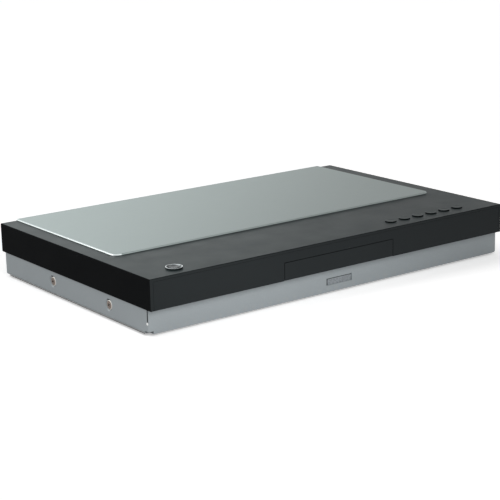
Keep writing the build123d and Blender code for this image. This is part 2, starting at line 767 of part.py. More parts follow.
# Front fascia with the tray opening, an underside return and a thinned display window
fascia_x = right - COVER_WALL - FASCIA_GAP
opening_half = DOOR_WIDTH / 2 + DOOR_GAP
display_board_x = (mid + frame_outer + DISPLAY_BOARD_GAP_X, right - DISPLAY_BOARD_INSET)
opening_top = seam_z + DOOR_LIFT + DOOR_HEIGHT + DOOR_GAP
with BuildPart() as front_fascia:
    with BuildSketch(Plane.YZ.offset(-fascia_x)):
        with BuildLine():
            Polyline(
                (front, seam_z),
                (chassis_front, seam_z),
                (chassis_front, seam_z + FASCIA_RETURN),
                (fascia_back, seam_z + FASCIA_RETURN),
                (fascia_back, under_top_z - FASCIA_GAP),
                (front, under_top_z - FASCIA_GAP),
                close=True,
            )
        make_face()
    extrude(amount=2 * fascia_x)
    shade = FASCIA_WALL / 2
    prism(
        (mid - opening_half - shade, mid + opening_half + shade),
        (fascia_back, chassis_front),
        (seam_z, opening_top + shade),
    )
    opening = (mid - opening_half, mid + opening_half)
    prism(opening, (front, chassis_front), (seam_z, opening_top), Mode.SUBTRACT)
    prism(
        (display_x - DISPLAY_WIDTH / 2 - WINDOW_MARGIN, display_x + DISPLAY_WIDTH / 2 + WINDOW_MARGIN),
        (front + WINDOW_SKIN, fascia_back),
        (DISPLAY_BOTTOM - WINDOW_MARGIN, DISPLAY_BOTTOM + DISPLAY_HEIGHT + WINDOW_MARGIN),
        Mode.SUBTRACT,
    )
    boss_z = DISPLAY_BOTTOM + DISPLAY_HEIGHT / 2 + FASCIA_BOSS_LIFT
    for x in (display_board_x[0] + FASCIA_BOSS_INSET, display_board_x[1] - FASCIA_BOSS_INSET):
        rod((x, fascia_back, boss_z), (0, 1, 0), FASCIA_BOSS_RADIUS, DISPLAY_DEPTH)
front_fascia.part.label = "front_fascia"
export_step(front_fascia.part, "parts/front_fascia.step")

# Display tube on its board
display_y = fascia_back + DISPLAY_DEPTH
display_board_z = seam_z + FASCIA_RETURN + DISPLAY_BOARD_GAP
with BuildPart() as display_board:
    display_board_span = (display_board_z, display_board_z + DISPLAY_BOARD_HEIGHT)
    prism(display_board_x, (display_y, display_y + BOARD / 2), display_board_span)
display_board.part.label = "display_board"
export_step(display_board.part, "parts/display_board.step")

with BuildPart() as display_tube:
    prism(
        (display_x - DISPLAY_WIDTH / 2, display_x + DISPLAY_WIDTH / 2),
        (fascia_back - DISPLAY_SEAT, display_y),
        (DISPLAY_BOTTOM, DISPLAY_BOTTOM + DISPLAY_HEIGHT),
    )
display_tube.part.label = "display_tube"
export_step(display_tube.part, "parts/display_tube.step")

# Boards and switches under the buttons
with BuildPart() as key_board:
    prism(
        (key_xs[0] - KEY_BOARD_MARGIN, key_xs[-1] + KEY_BOARD_MARGIN),
        (key_y - KEY_BOARD_DEPTH / 2, key_y + KEY_BOARD_DEPTH / 2),
        (key_board_z, key_board_top),
    )
key_board.part.label = "key_board"
export_step(key_board.part, "parts/key_board.step")

with BuildPart() as power_key_board:
    prism(
        (power_x - POWER_BOARD_WIDTH / 2, power_x + POWER_BOARD_WIDTH / 2),
        (power_y - KEY_BOARD_DEPTH / 2, power_y + KEY_BOARD_DEPTH / 2),
        (key_board_z, key_board_top),
    )
power_key_board.part.label = "power_key_board"
export_step(power_key_board.part, "parts/power_key_board.step")

with BuildPart() as key_switches:
    for x, y in [(x, key_y) for x in key_xs] + [(power_x, power_y)]:
        half = SWITCH_SIZE / 2
        prism((x - half, x + half), (y - half, y + half), (key_board_top, key_board_top + SWITCH_HEIGHT))
        rod((x, y, key_board_top + SWITCH_HEIGHT), (0, 0, 1), STEM_RADIUS, STEM_HEIGHT)
key_switches.part.label = "key_switches"
export_step(key_switches.part, "parts/key_switches.step")

# Six function buttons: a cap through the cover with a flange that stops it under the cover
key_names = (
    "open_button",
    "stop_button",
    "play_button",
    "record_button",
    "channel_down_button",
    "channel_up_button",
)
for name, x in zip(key_names, key_xs):
    with BuildPart() as button:
        turned(
            [
                (0, key_foot),
                (KEY_FLANGE_RADIUS, key_foot),
                (KEY_FLANGE_RADIUS, key_flange_top),
                (KEY_RADIUS, key_flange_top),
                (KEY_RADIUS, top_z + KEY_RISE - KEY_EDGE),
                (KEY_RADIUS - KEY_EDGE, top_z + KEY_RISE),
                (0, top_z + KEY_RISE),
            ],
            (x, key_y),
        )
    button.part.label = name
    export_step(button.part, f"parts/{name}.step")

# Power button with a dished top, in a conical ring
ring_bore = POWER_RADIUS + RING_GAP
with BuildPart() as power_button:
    turned(
        [
            (0, key_foot),
            (POWER_RADIUS + POWER_FLANGE, key_foot),
            (POWER_RADIUS + POWER_FLANGE, key_flange_top),
            (POWER_RADIUS, key_flange_top),
            (POWER_RADIUS, top_z + POWER_RISE - KEY_EDGE),
            (POWER_RADIUS - KEY_EDGE, top_z + POWER_RISE),
            (0, top_z + POWER_RISE - KEY_EDGE),
        ],
        (power_x, power_y),
    )
power_button.part.label = "power_button"
export_step(power_button.part, "parts/power_button.step")

with BuildPart() as power_ring:
    turned(
        [
            (ring_bore, under_top_z),
            (RING_NECK, under_top_z),
            (RING_NECK, top_z),
            (RING_RADIUS, top_z),
            (RING_RADIUS, top_z + RING_BASE),
            (ring_bore + RING_LIP, top_z + RING_RISE),
            (ring_bore, top_z + RING_RISE),
        ],
        (power_x, power_y),
    )
power_ring.part.label = "power_ring"
export_step(power_ring.part, "parts/power_ring.step")


def screw(x, y, z, inward):
    """A screw with a domed head of three levels and a plain shank, its head's seat at the point."""
    outward = tuple(-v for v in inward)
    plane = Plane(origin=(x, y, z), z_dir=outward)
    with BuildSketch(plane) as wide:
        Circle(SCREW_HEAD_RADIUS)
    extrude(wide.sketch, amount=SCREW_HEAD_HEIGHT / 2)
    with BuildSketch(plane.offset(SCREW_HEAD_HEIGHT / 2)) as crown:
        Circle(SCREW_HEAD_RADIUS)
    extrude(crown.sketch, amount=SCREW_HEAD_HEIGHT / 2, taper=50)
    rod((x, y, z), inward, SCREW_SHANK_RADIUS, SCREW_LENGTH)


# Screws that hold the cover, two on each side and three at the rear
with BuildPart() as side_screws:
    for side in (-1, 1):
        for y in screw_ys:
            screw(side * (chassis_x - DISH_DEPTH), y, base_z + SCREW_HEIGHT, (-side, 0, 0))
side_screws.part.label = "side_screws"
export_step(side_screws.part, "parts/side_screws.step")

with BuildPart() as rear_screws:
    for x in rear_screw_xs:
        screw(x, rear_face, REAR_SCREW_Z, (0, -1, 0))
rear_screws.part.label = "rear_screws"
export_step(rear_screws.part, "parts/rear_screws.step")

# Rear panel with a hole for each socket, screw and the fan
jack_places = [
    (right - JACK_FIRST_INSET + JACK_PITCH_X * i, JACK_FIRST_Z + JACK_PITCH_Z * j)
    for i in range(JACK_COLUMNS)
    for j in range(JACK_ROWS)
]
aerial_places = [(aerial_x, AERIAL_LOW_Z), (aerial_x, AERIAL_LOW_Z + AERIAL_PITCH)]
with BuildPart() as rear_panel:
    channel(chassis_x - SHEET, (rear_inner, rear_face), (floor_z, seam_z), BEND_RADIUS - SHEET)
    prism(both(right - COVER_WALL), (rear_inner, rear_face), (floor_z, under_top_z - REAR_TOP_GAP))
    for x, z in jack_places:
        rod((x, rear_face, z), (0, -1, 0), JACK_NECK + JACK_HOLE_GAP, SHEET, Mode.SUBTRACT)
    for x, z in aerial_places:
        rod((x, rear_face, z), (0, -1, 0), AERIAL_NECK + JACK_HOLE_GAP, SHEET, Mode.SUBTRACT)
    for x in rear_screw_xs:
        rod((x, rear_face, REAR_SCREW_Z), (0, -1, 0), screw_bore, SHEET, Mode.SUBTRACT)
    inlet_half = (INLET_WIDTH / 2 - INLET_WALL, INLET_HEIGHT / 2 - INLET_WALL)
    prism(
        (inlet_x - inlet_half[0], inlet_x + inlet_half[0]),
        (rear_inner, rear_face),
        (INLET_Z - inlet_half[1], INLET_Z + inlet_half[1]),
        Mode.SUBTRACT,
    )
    prism(
        (digital_x - DIGITAL_WIDTH / 2, digital_x + DIGITAL_WIDTH / 2),
        (rear_inner, rear_face),
        (DIGITAL_Z - DIGITAL_HEIGHT / 2, DIGITAL_Z + DIGITAL_HEIGHT / 2),
        Mode.SUBTRACT,
    )
    for i in range(GRILLE_BARS):
        offset_z = (i - (GRILLE_BARS - 1) / 2) * GRILLE_PITCH
        half = sqrt(FAN_BORE**2 - (abs(offset_z) + GRILLE_SLOT / 2) ** 2)
        for x0, x1 in ((-half, -GRILLE_SLOT / 2), (GRILLE_SLOT / 2, half)):
            prism(
                (FAN_X + x0, FAN_X + x1),
                (rear_inner, rear_face),
                (fan_z + offset_z - GRILLE_SLOT / 2, fan_z + offset_z + GRILLE_SLOT / 2),
                Mode.SUBTRACT,
            )
rear_panel.part.label = "rear_panel"
export_step(rear_panel.part, "parts/rear_panel.step")

# Fan: a square frame with a round duct and three arms, and a bladed rotor on its stub shaft
fan_back = rear_inner
fan_front = fan_back - FAN_DEPTH
fan_half = FAN_SIZE / 2
with BuildPart() as fan_frame:
    prism((FAN_X - fan_half, FAN_X + fan_half), (fan_front, fan_back), (fan_z - fan_half, fan_z + fan_half))
    rod((FAN_X, fan_back, fan_z), (0, -1, 0), FAN_BORE, FAN_DEPTH, Mode.SUBTRACT)
    for turn in (90, 210, 330):
        along_arm = (cos(radians(turn)), 0, sin(radians(turn)))
        spoke = Plane(origin=(FAN_X, fan_back, fan_z), x_dir=along_arm, z_dir=(0, -1, 0))
        with BuildSketch(spoke):
            with Locations((FAN_BORE / 2, 0)):
                Rectangle(FAN_BORE + ARM_ROOT, ARM_WIDTH)
        extrude(amount=ARM_SHEET)
    rod((FAN_X, fan_back, fan_z), (0, -1, 0), FAN_HUB - ARM_ROOT, ARM_SHEET)
    rod((FAN_X, fan_back - ARM_SHEET, fan_z), (0, -1, 0), SHAFT_RADIUS, FAN_SHAFT_LENGTH)
fan_frame.part.label = "fan_frame"
export_step(fan_frame.part, "parts/fan_frame.step")

blade_start = fan_back - ARM_SHEET - FAN_GAP
blade_depth = FAN_DEPTH - ARM_SHEET - FAN_GAP - FAN_END_GAP
with BuildPart() as fan_rotor:
    rod((FAN_X, blade_start, fan_z), (0, -1, 0), FAN_HUB, blade_depth)
    for i in range(FAN_BLADES):
        angle = 2 * pi * i / FAN_BLADES
        out = (cos(angle), 0, sin(angle))
        root = Vector(FAN_X, blade_start - blade_depth / 2, fan_z) + Vector(*out) * (FAN_HUB - BLADE_ROOT)
        with BuildSketch(Plane(origin=root, x_dir=(0, 1, 0), z_dir=out)):
            Rectangle(blade_depth * BLADE_FILL, BLADE_SHEET, rotation=FAN_PITCH_ANGLE)
        extrude(amount=FAN_TIP - FAN_HUB + BLADE_ROOT)
    rod((FAN_X, blade_start, fan_z), (0, -1, 0), gear_bore, FAN_SHAFT_LENGTH, Mode.SUBTRACT)
fan_rotor.part.label = "fan_rotor"
export_step(fan_rotor.part, "parts/fan_rotor.step")

# Phono jacks: metal shells, coloured insulators and the black blocks behind them
with BuildPart() as jack_blocks:
    for x in sorted({x for x, z in jack_places}):
        prism(
            (x - JACK_BLOCK / 2, x + JACK_BLOCK / 2),
            (rear_inner - JACK_BLOCK_DEPTH, rear_inner),
            (board_top, JACK_FIRST_Z + JACK_PITCH_Z * (JACK_ROWS - 1) + JACK_BLOCK / 2),
        )
jack_blocks.part.label = "jack_blocks"
export_step(jack_blocks.part, "parts/jack_blocks.step")

with BuildPart() as jack_insulators:
    for x, z in jack_places:
        rod((x, rear_face, z), (0, 1, 0), JACK_RING_RADIUS, JACK_RING)
        rod((x, rear_face, z), (0, 1, 0), JACK_NECK, JACK_RING, Mode.SUBTRACT)
jack_insulators.part.label = "jack_insulators"
export_step(jack_insulators.part, "parts/jack_insulators.step")

with BuildPart() as jack_shells:
    for x, z in jack_places:
        rod((x, rear_inner, z), (0, 1, 0), JACK_NECK, SHEET + JACK_RING)
        rod((x, rear_face + JACK_RING, z), (0, 1, 0), JACK_RADIUS, JACK_REACH - JACK_RING)
        rod((x, rear_face, z), (0, 1, 0), JACK_BORE, JACK_REACH, Mode.SUBTRACT)
jack_shells.part.label = "jack_shells"
export_step(jack_shells.part, "parts/jack_shells.step")

with BuildPart() as aerial_sockets:
    for x, z in aerial_places:
        rod((x, rear_inner, z), (0, 1, 0), AERIAL_NECK, SHEET)
        rod((x, rear_face, z), (0, 1, 0), AERIAL_RADIUS, JACK_REACH)
        rod((x, rear_face, z), (0, 1, 0), AERIAL_BORE, JACK_REACH, Mode.SUBTRACT)
aerial_sockets.part.label = "aerial_sockets"
export_step(aerial_sockets.part, "parts/aerial_sockets.step")

# Mains inlet: a flange, a shroud and two pins in its cavity
with BuildPart() as mains_inlet:
    half_w, half_h = INLET_WIDTH / 2, INLET_HEIGHT / 2
    rim_z = (INLET_Z - half_h, INLET_Z + half_h)
    prism((inlet_x - half_w, inlet_x + half_w), (rear_face, rear_face + INLET_FLANGE), rim_z)
    prism(
        (inlet_x - inlet_half[0], inlet_x + inlet_half[0]),
        (rear_face - INLET_DEPTH - INLET_WALL, rear_face),
        (INLET_Z - inlet_half[1], INLET_Z + inlet_half[1]),
    )
    mouth = Plane(origin=(inlet_x, rear_face + INLET_FLANGE, INLET_Z), x_dir=(1, 0, 0), z_dir=(0, -1, 0))
    with BuildSketch(mouth):
        SlotOverall(INLET_CAVITY, INLET_CAVITY_HEIGHT)
    extrude(amount=INLET_DEPTH + INLET_FLANGE, mode=Mode.SUBTRACT)
    for x in (inlet_x - PIN_PITCH / 2, inlet_x + PIN_PITCH / 2):
        rod((x, rear_face - INLET_DEPTH, INLET_Z), (0, 1, 0), PIN_RADIUS, INLET_DEPTH - PIN_SETBACK)
mains_inlet.part.label = "mains_inlet"
export_step(mains_inlet.part, "parts/mains_inlet.step")

with BuildPart() as digital_socket:
    half_w, half_h = DIGITAL_WIDTH / 2, DIGITAL_HEIGHT / 2
    z_range = (DIGITAL_Z - half_h, DIGITAL_Z + half_h)
    prism((digital_x - half_w, digital_x + half_w), (rear_face - DIGITAL_DEPTH, rear_face), z_range)
    prism(
        (digital_x - half_w + DIGITAL_WALL, digital_x + half_w - DIGITAL_WALL),
        (rear_face - DIGITAL_DEPTH + DIGITAL_BACK, rear_face),
        (z_range[0] + DIGITAL_WALL, z_range[1] - DIGITAL_WALL),
        Mode.SUBTRACT,
    )
    prism(
        (digital_x - TONGUE_WIDTH / 2, digital_x + TONGUE_WIDTH / 2),
        (rear_face - DIGITAL_DEPTH + DIGITAL_BACK, rear_face - DIGITAL_BACK),
        (DIGITAL_Z - TONGUE_HEIGHT / 2, DIGITAL_Z + TONGUE_HEIGHT / 2),
    )
digital_socket.part.label = "digital_socket"
export_step(digital_socket.part, "parts/digital_socket.step")

# Circuit boards and their large parts
with BuildPart() as power_board:
    prism(
        (power_pcb_left, power_pcb_left + POWER_PCB_WIDTH),
        (pcb_back - POWER_PCB_LENGTH, pcb_back),
        (board_z, board_top),
    )
power_board.part.label = "power_board"
export_step(power_board.part, "parts/power_board.step")

with BuildPart() as main_board:
    prism(
        (main_pcb_right - MAIN_PCB_WIDTH, main_pcb_right),
        (pcb_back - MAIN_PCB_LENGTH, pcb_back),
        (board_z, board_top),
    )
main_board.part.label = "main_board"
export_step(main_board.part, "parts/main_board.step")

with BuildPart() as transformer:
    core_x = power_pcb_left + TRANSFORMER_LEFT
    core_y = pcb_back - LARGE_PARTS_BACK
    half_x, half_y = TRANSFORMER_WIDTH / 2, TRANSFORMER_LENGTH / 2
    core_top = board_top + TRANSFORMER_HEIGHT
    prism((core_x - half_x, core_x + half_x), (core_y - half_y, core_y + half_y), (board_top, core_top))
    prism(
        (core_x - half_x - WINDING_BULGE, core_x + half_x + WINDING_BULGE),
        (core_y - WINDING_LENGTH / 2, core_y + WINDING_LENGTH / 2),
        (board_top + WINDING_LIFT, core_top - WINDING_LIFT),
    )
transformer.part.label = "transformer"
export_step(transformer.part, "parts/transformer.step")

with BuildPart() as capacitors:
    bulk = (power_pcb_left + BULK_LEFT, pcb_back - BULK_BACK, board_top)
    rod(bulk, (0, 0, 1), BULK_RADIUS, BULK_HEIGHT)
    for i in range(SMALL_CAP_COUNT):
        small_x = power_pcb_left + SMALL_CAP_LEFT + SMALL_CAP_PITCH * i
        rod((small_x, pcb_back - SMALL_CAP_BACK, board_top), (0, 0, 1), SMALL_CAP_RADIUS, SMALL_CAP_HEIGHT)
capacitors.part.label = "capacitors"
export_step(capacitors.part, "parts/capacitors.step")

with BuildPart() as heat_sink:
    sink_x = power_pcb_left + SINK_LEFT
    sink_y = (pcb_back - LARGE_PARTS_BACK - SINK_LENGTH / 2, pcb_back - LARGE_PARTS_BACK + SINK_LENGTH / 2)
    reach = (SINK_PITCH * (SINK_FINS - 1) + SINK_FIN) / 2
    prism((sink_x - reach, sink_x + reach), sink_y, (board_top, board_top + SINK_FOOT))
    for i in range(SINK_FINS):
        x = sink_x - reach + SINK_PITCH * i
        prism((x, x + SINK_FIN), sink_y, (board_top, board_top + SINK_HEIGHT))
heat_sink.part.label = "heat_sink"
export_step(heat_sink.part, "parts/heat_sink.step")

with BuildPart() as main_chips:
    for column, row, size in (
        (CHIP_COLUMN, PROCESSOR_BACK, PROCESSOR),
        (CHIP_COLUMN, ENCODER_BACK, ENCODER),
        (CHIP_LEFT_COLUMN, MEMORY_BACK, MEMORY),
        (CHIP_LEFT_COLUMN, SOUND_CHIP_BACK, SOUND_CHIP),
        (CHIP_RIGHT_COLUMN, DRIVE_CHIP_BACK, DRIVE_CHIP),
    ):
        x, y = main_pcb_right - column, pcb_back - row
        prism((x - size / 2, x + size / 2), (y - size / 2, y + size / 2), (board_top, board_top + CHIP_HEIGHT))
main_chips.part.label = "main_chips"
export_step(main_chips.part, "parts/main_chips.step")

with BuildPart() as tuner_can:
    prism(
        (aerial_x - TUNER_WIDTH / 2, aerial_x + TUNER_WIDTH / 2),
        (rear_inner - TUNER_LENGTH, rear_inner),
        (board_top, board_top + TUNER_HEIGHT),
    )
    chamfer(tuner_can.edges().filter_by(Axis.Z), TUNER_CORNER)
tuner_can.part.label = "tuner_can"
export_step(tuner_can.part, "parts/tuner_can.step")

# Loader frame: side walls with ledges, a gear shelf, lugs for the traverse and a cam guide
with BuildPart() as loader_frame:
    span = (mid - frame_outer, mid + frame_outer)
    frame_floor_z = (floor_z, floor_z + FRAME_FLOOR)
    prism(span, (frame_front, frame_back), frame_floor_z)
    window = (cam_back + 2 * CAM_CLEARANCE + CAM_RAIL, frame_back - FRAME_RIM)
    window_x = (mid - frame_inner + FRAME_RIM, mid + frame_inner - FRAME_RIM)
    prism(window_x, window, frame_floor_z, Mode.SUBTRACT)
    for x0, x1 in ((mid - frame_outer, mid - frame_inner), (mid + frame_inner, mid + frame_outer)):
        prism((x0, x1), (frame_front, frame_back), (floor_z, frame_top))
    prism(span, (frame_back - FRAME_WALL, frame_back), (floor_z, ledge_top - LEDGE))
    prism(span, (frame_front, frame_front + FRAME_WALL / 2), (floor_z, SHELF_TOP))
    prism(span, (frame_front, frame_front + SHELF_LENGTH), (SHELF_TOP - SHELF_WALL, SHELF_TOP))
    behind_gear = gear_y + ring_radius + RING_MODULE + LEDGE / 2
    for x0, x1, y0 in (
        (mid - frame_inner, mid - frame_inner + LEDGE_REACH, behind_gear),
        (mid + frame_inner - LEDGE_REACH, mid + frame_inner, frame_front),
    ):
        prism((x0, x1), (y0, frame_back), (ledge_top - LEDGE, ledge_top))
    tab_z = (tray_top + LEDGE_GAP, tray_top + LEDGE_GAP + GUIDE_TAB)
    for i in range(GUIDE_PLACES):
        y = frame_front + GUIDE_FIRST + GUIDE_PITCH * i
        prism((mid - frame_inner, mid - rail_x + GUIDE_REACH), (y, y + GUIDE_LENGTH), tab_z)
        prism((mid + rail_x - GUIDE_REACH, mid + frame_inner), (y, y + GUIDE_LENGTH), tab_z)
    rod((gear_x, gear_y, SHELF_TOP), (0, 0, 1), SHAFT_RADIUS, pinion_top - SHELF_TOP - GEAR_GAP / 2)
    rod((pulley_x, gear_y, SHELF_TOP), (0, 0, 1), SHAFT_RADIUS, ring_top - SHELF_TOP)
    motor_bore = MOTOR_SHAFT_RADIUS + MOTOR_HOLE_GAP
    rod((motor_x, gear_y, SHELF_TOP - SHELF_WALL), (0, 0, 1), motor_bore, SHELF_WALL, Mode.SUBTRACT)
    for side in (-1, 1):
        lug = sorted((mid + side * frame_inner, mid + side * (TRAVERSE_HALF + LUG_REACH)))
        prism(lug, (pivot_y - LUG_HALF, pivot_y + LUG_HALF), (PIVOT_Z - LUG_HALF, PIVOT_Z + LUG_HALF))
        mouth = (mid + side * (TRAVERSE_HALF + LUG_REACH), pivot_y, PIVOT_Z)
        rod(mouth, (side, 0, 0), PIVOT_RADIUS + SHAFT_CLEARANCE, LUG_BORE_DEPTH, Mode.SUBTRACT)
    for y0 in (cam_front - CAM_CLEARANCE - CAM_RAIL, cam_back + CAM_CLEARANCE):
        rail_z = (frame_floor_z[1], frame_floor_z[1] + CAM_RAIL_HEIGHT)
        prism((cam_pin_x - CAM_RAIL_LEFT, cam_pin_x + CAM_RAIL_RIGHT), (y0, y0 + CAM_RAIL), rail_z)
loader_frame.part.label = "loader_frame"
export_step(loader_frame.part, "parts/loader_frame.step")

# Bridge across the tray, with the clamper hanging in its eye
with BuildPart() as clamp_bridge:
    with BuildSketch(Plane.XY.offset(bridge_z)):
        with Locations((mid, spindle_y)):
            Rectangle(2 * frame_outer, BRIDGE_WIDTH)
            Circle(BRIDGE_EYE)
            Circle(CLAMPER_NECK + CLAMPER_HOLE_GAP, mode=Mode.SUBTRACT)
    extrude(amount=BRIDGE_SHEET)
    lip_x = frame_inner - BRIDGE_LIP_INSET
    lip_z = (bridge_z, bridge_z + BRIDGE_SHEET + BRIDGE_LIP)
    for y in (spindle_y - BRIDGE_WIDTH / 2, spindle_y + BRIDGE_WIDTH / 2 - BRIDGE_SHEET):
        prism((mid - lip_x, mid - BRIDGE_EYE), (y, y + BRIDGE_SHEET), lip_z)
        prism((mid + BRIDGE_EYE, mid + lip_x), (y, y + BRIDGE_SHEET), lip_z)
clamp_bridge.part.label = "clamp_bridge"
export_step(clamp_bridge.part, "parts/clamp_bridge.step")

with BuildPart() as clamper:
    flange_z = bridge_z + BRIDGE_SHEET + CLAMPER_GAP
    turned(
        [
            (0, clamp_seat + HUB_RISE),
            (HUB_RADIUS + CLAMPER_BOSS_GAP, clamp_seat + HUB_RISE - CLAMPER_GAP),
            (HUB_RADIUS + CLAMPER_BOSS_GAP, clamp_seat),
            (CLAMPER_RADIUS, clamp_seat),
            (CLAMPER_RADIUS, clamp_seat + CLAMPER_DISC),
            (CLAMPER_NECK, clamp_seat + CLAMPER_DISC),
            (CLAMPER_NECK, flange_z),
            (CLAMPER_FLANGE, flange_z),
            (CLAMPER_FLANGE, flange_z + CLAMPER_CAP),
            (0, flange_z + CLAMPER_CAP),
        ],
        (mid, spindle_y),
    )
clamper.part.label = "clamper"
export_step(clamper.part, "parts/clamper.step")

# Disc tray: deck, disc well, side rails, open slot and rack
with BuildPart() as disc_tray:
    with BuildSketch(Plane.XY.offset(tray_top - TRAY_DECK)):
        with Locations((mid, (tray_front + tray_back) / 2)):
            Rectangle(TRAY_WIDTH, TRAY_LENGTH)
        fillet(vertices().group_by(Axis.Y)[-1], TRAY_CORNER)
    extrude(amount=TRAY_DECK)
    for x0, x1 in ((mid - rail_x, mid - rail_x + TRAY_RAIL), (mid + rail_x - TRAY_RAIL, mid + rail_x)):
        prism((x0, x1), (tray_front, tray_back - TRAY_CORNER), (tray_z, tray_top - TRAY_DECK))
    prism((mid - rail_x, mid + rail_x), (tray_front, tray_front + TRAY_FRONT), (tray_z, tray_top - TRAY_DECK))
    rod((mid, spindle_y, well_floor_z), (0, 0, 1), well_radius + WELL_WALL, tray_top - well_floor_z)
    rod((mid, spindle_y, well_floor_z + WELL_FLOOR), (0, 0, 1), well_radius, TRAY_HEIGHT, Mode.SUBTRACT)
    with BuildSketch(Plane.XY.offset(tray_z)):
        with Locations((mid, spindle_y)):
            Circle(SLOT_HALF)
        with Locations((mid, (spindle_y + tray_back) / 2)):
            Rectangle(2 * SLOT_HALF, tray_back - spindle_y)
    extrude(amount=TRAY_HEIGHT, mode=Mode.SUBTRACT)
    rack_pitch = pi * RACK_MODULE
    rack_first = gear_y - RACK_BEFORE * rack_pitch
    rack_teeth = round((TRAY_TRAVEL + RACK_SPARE) / rack_pitch)
    rack_back = mid - rail_x + TRAY_RAIL / 2
    with BuildSketch(Plane.XY.offset(tray_z)):
        with BuildLine():
            rack_line = rack_points(rack_teeth, RACK_MODULE, rack_first, mid - RACK_PITCH_X, rack_back, 1)
            Polyline(*[(across, along) for along, across in rack_line], close=True)
        make_face()
    extrude(amount=WELL_FLOOR_LIFT - GEAR_GAP / 2)
disc_tray.part.label = "disc_tray"
export_step(disc_tray.part, "parts/disc_tray.step")

with BuildPart() as tray_door:
    door_z = seam_z + DOOR_LIFT
    prism((mid - DOOR_WIDTH / 2, mid + DOOR_WIDTH / 2), (front, fascia_back), (door_z, door_z + DOOR_HEIGHT))
tray_door.part.label = "tray_door"
export_step(tray_door.part, "parts/tray_door.step")

# Drive gear: a rack pinion over a large ring, turning on the frame's post
with BuildPart() as drive_gear:
    centre = (gear_x, gear_y)
    spur(PINION_TEETH, RACK_MODULE, centre, pi + pi / PINION_TEETH, (pinion_z, pinion_top))
    spur(RING_TEETH, RING_MODULE, centre, 0.0, (ring_z, ring_top))
    rod((gear_x, gear_y, ring_top), (0, 0, 1), GEAR_HUB_RADIUS, pinion_z - ring_top)
    rod((gear_x, gear_y, pulley_z), (0, 0, 1), 2 * SHAFT_RADIUS, ring_z - pulley_z)
    rod((gear_x, gear_y, pulley_z), (0, 0, 1), gear_bore, pinion_top - pulley_z, Mode.SUBTRACT)
drive_gear.part.label = "drive_gear"
export_step(drive_gear.part, "parts/drive_gear.step")


def grooved_pulley(x, y, radius, bore):
    """A belt pulley with a square groove round its middle and a bore."""
    flange = (PULLEY_WIDTH - BELT_WIDTH - 2 * BELT_CLEARANCE) / 2
    turned(
        [
            (bore, pulley_z),
            (radius, pulley_z),
            (radius, pulley_z + flange),
            (radius - GROOVE_DEPTH, pulley_z + flange),
            (radius - GROOVE_DEPTH, pulley_z + PULLEY_WIDTH - flange),
            (radius, pulley_z + PULLEY_WIDTH - flange),
            (radius, pulley_z + PULLEY_WIDTH),
            (bore, pulley_z + PULLEY_WIDTH),
        ],
        (x, y),
    )


with BuildPart() as pulley_gear:
    centre = (pulley_x, gear_y)
    grooved_pulley(pulley_x, gear_y, PULLEY_RADIUS, gear_bore)
    spur(SMALL_TEETH, RING_MODULE, centre, pi + pi / SMALL_TEETH, (pulley_z + PULLEY_WIDTH, ring_top))
    rod((pulley_x, gear_y, pulley_z), (0, 0, 1), gear_bore, ring_top - pulley_z, Mode.SUBTRACT)
pulley_gear.part.label = "pulley_gear"
export_step(pulley_gear.part, "parts/pulley_gear.step")

with BuildPart() as motor_pulley:
    grooved_pulley(motor_x, gear_y, MOTOR_PULLEY_RADIUS, 0.0)
    shaft_foot = SHELF_TOP - SHELF_WALL
    rod((motor_x, gear_y, shaft_foot), (0, 0, 1), MOTOR_SHAFT_RADIUS, pulley_z - shaft_foot)
motor_pulley.part.label = "motor_pulley"
export_step(motor_pulley.part, "parts/motor_pulley.step")

with BuildPart() as drive_belt:
    belt_z = pulley_z + (PULLEY_WIDTH - BELT_WIDTH) / 2
    with BuildSketch(Plane.XY.offset(belt_z), mode=Mode.PRIVATE) as inner_loop:
        with Locations((pulley_x, gear_y)):
            Circle(PULLEY_RADIUS - GROOVE_DEPTH + BELT_CLEARANCE)
        with Locations((motor_x, gear_y)):
            Circle(MOTOR_PULLEY_RADIUS - GROOVE_DEPTH + BELT_CLEARANCE)
        make_hull()
    with BuildSketch(Plane.XY.offset(belt_z), mode=Mode.PRIVATE) as outer_loop:
        with Locations((pulley_x, gear_y)):
            Circle(PULLEY_RADIUS - GROOVE_DEPTH + BELT_CLEARANCE + BELT_THICKNESS)
        with Locations((motor_x, gear_y)):
            Circle(MOTOR_PULLEY_RADIUS - GROOVE_DEPTH + BELT_CLEARANCE + BELT_THICKNESS)
        make_hull()
    extrude(outer_loop.sketch, amount=BELT_WIDTH)
    extrude(inner_loop.sketch, amount=BELT_WIDTH, mode=Mode.SUBTRACT)
drive_belt.part.label = "drive_belt"
export_step(drive_belt.part, "parts/drive_belt.step")

with BuildPart() as loading_motor:
    motor_top = SHELF_TOP - SHELF_WALL
    rod((motor_x, gear_y, motor_top - MOTOR_HEIGHT), (0, 0, 1), MOTOR_RADIUS, MOTOR_HEIGHT)
    rotor_bore = MOTOR_SHAFT_RADIUS + SHAFT_CLEARANCE
    rod((motor_x, gear_y, motor_top), (0, 0, -1), rotor_bore, MOTOR_HEIGHT / 2, Mode.SUBTRACT)
loading_motor.part.label = "loading_motor"
export_step(loading_motor.part, "parts/loading_motor.step")

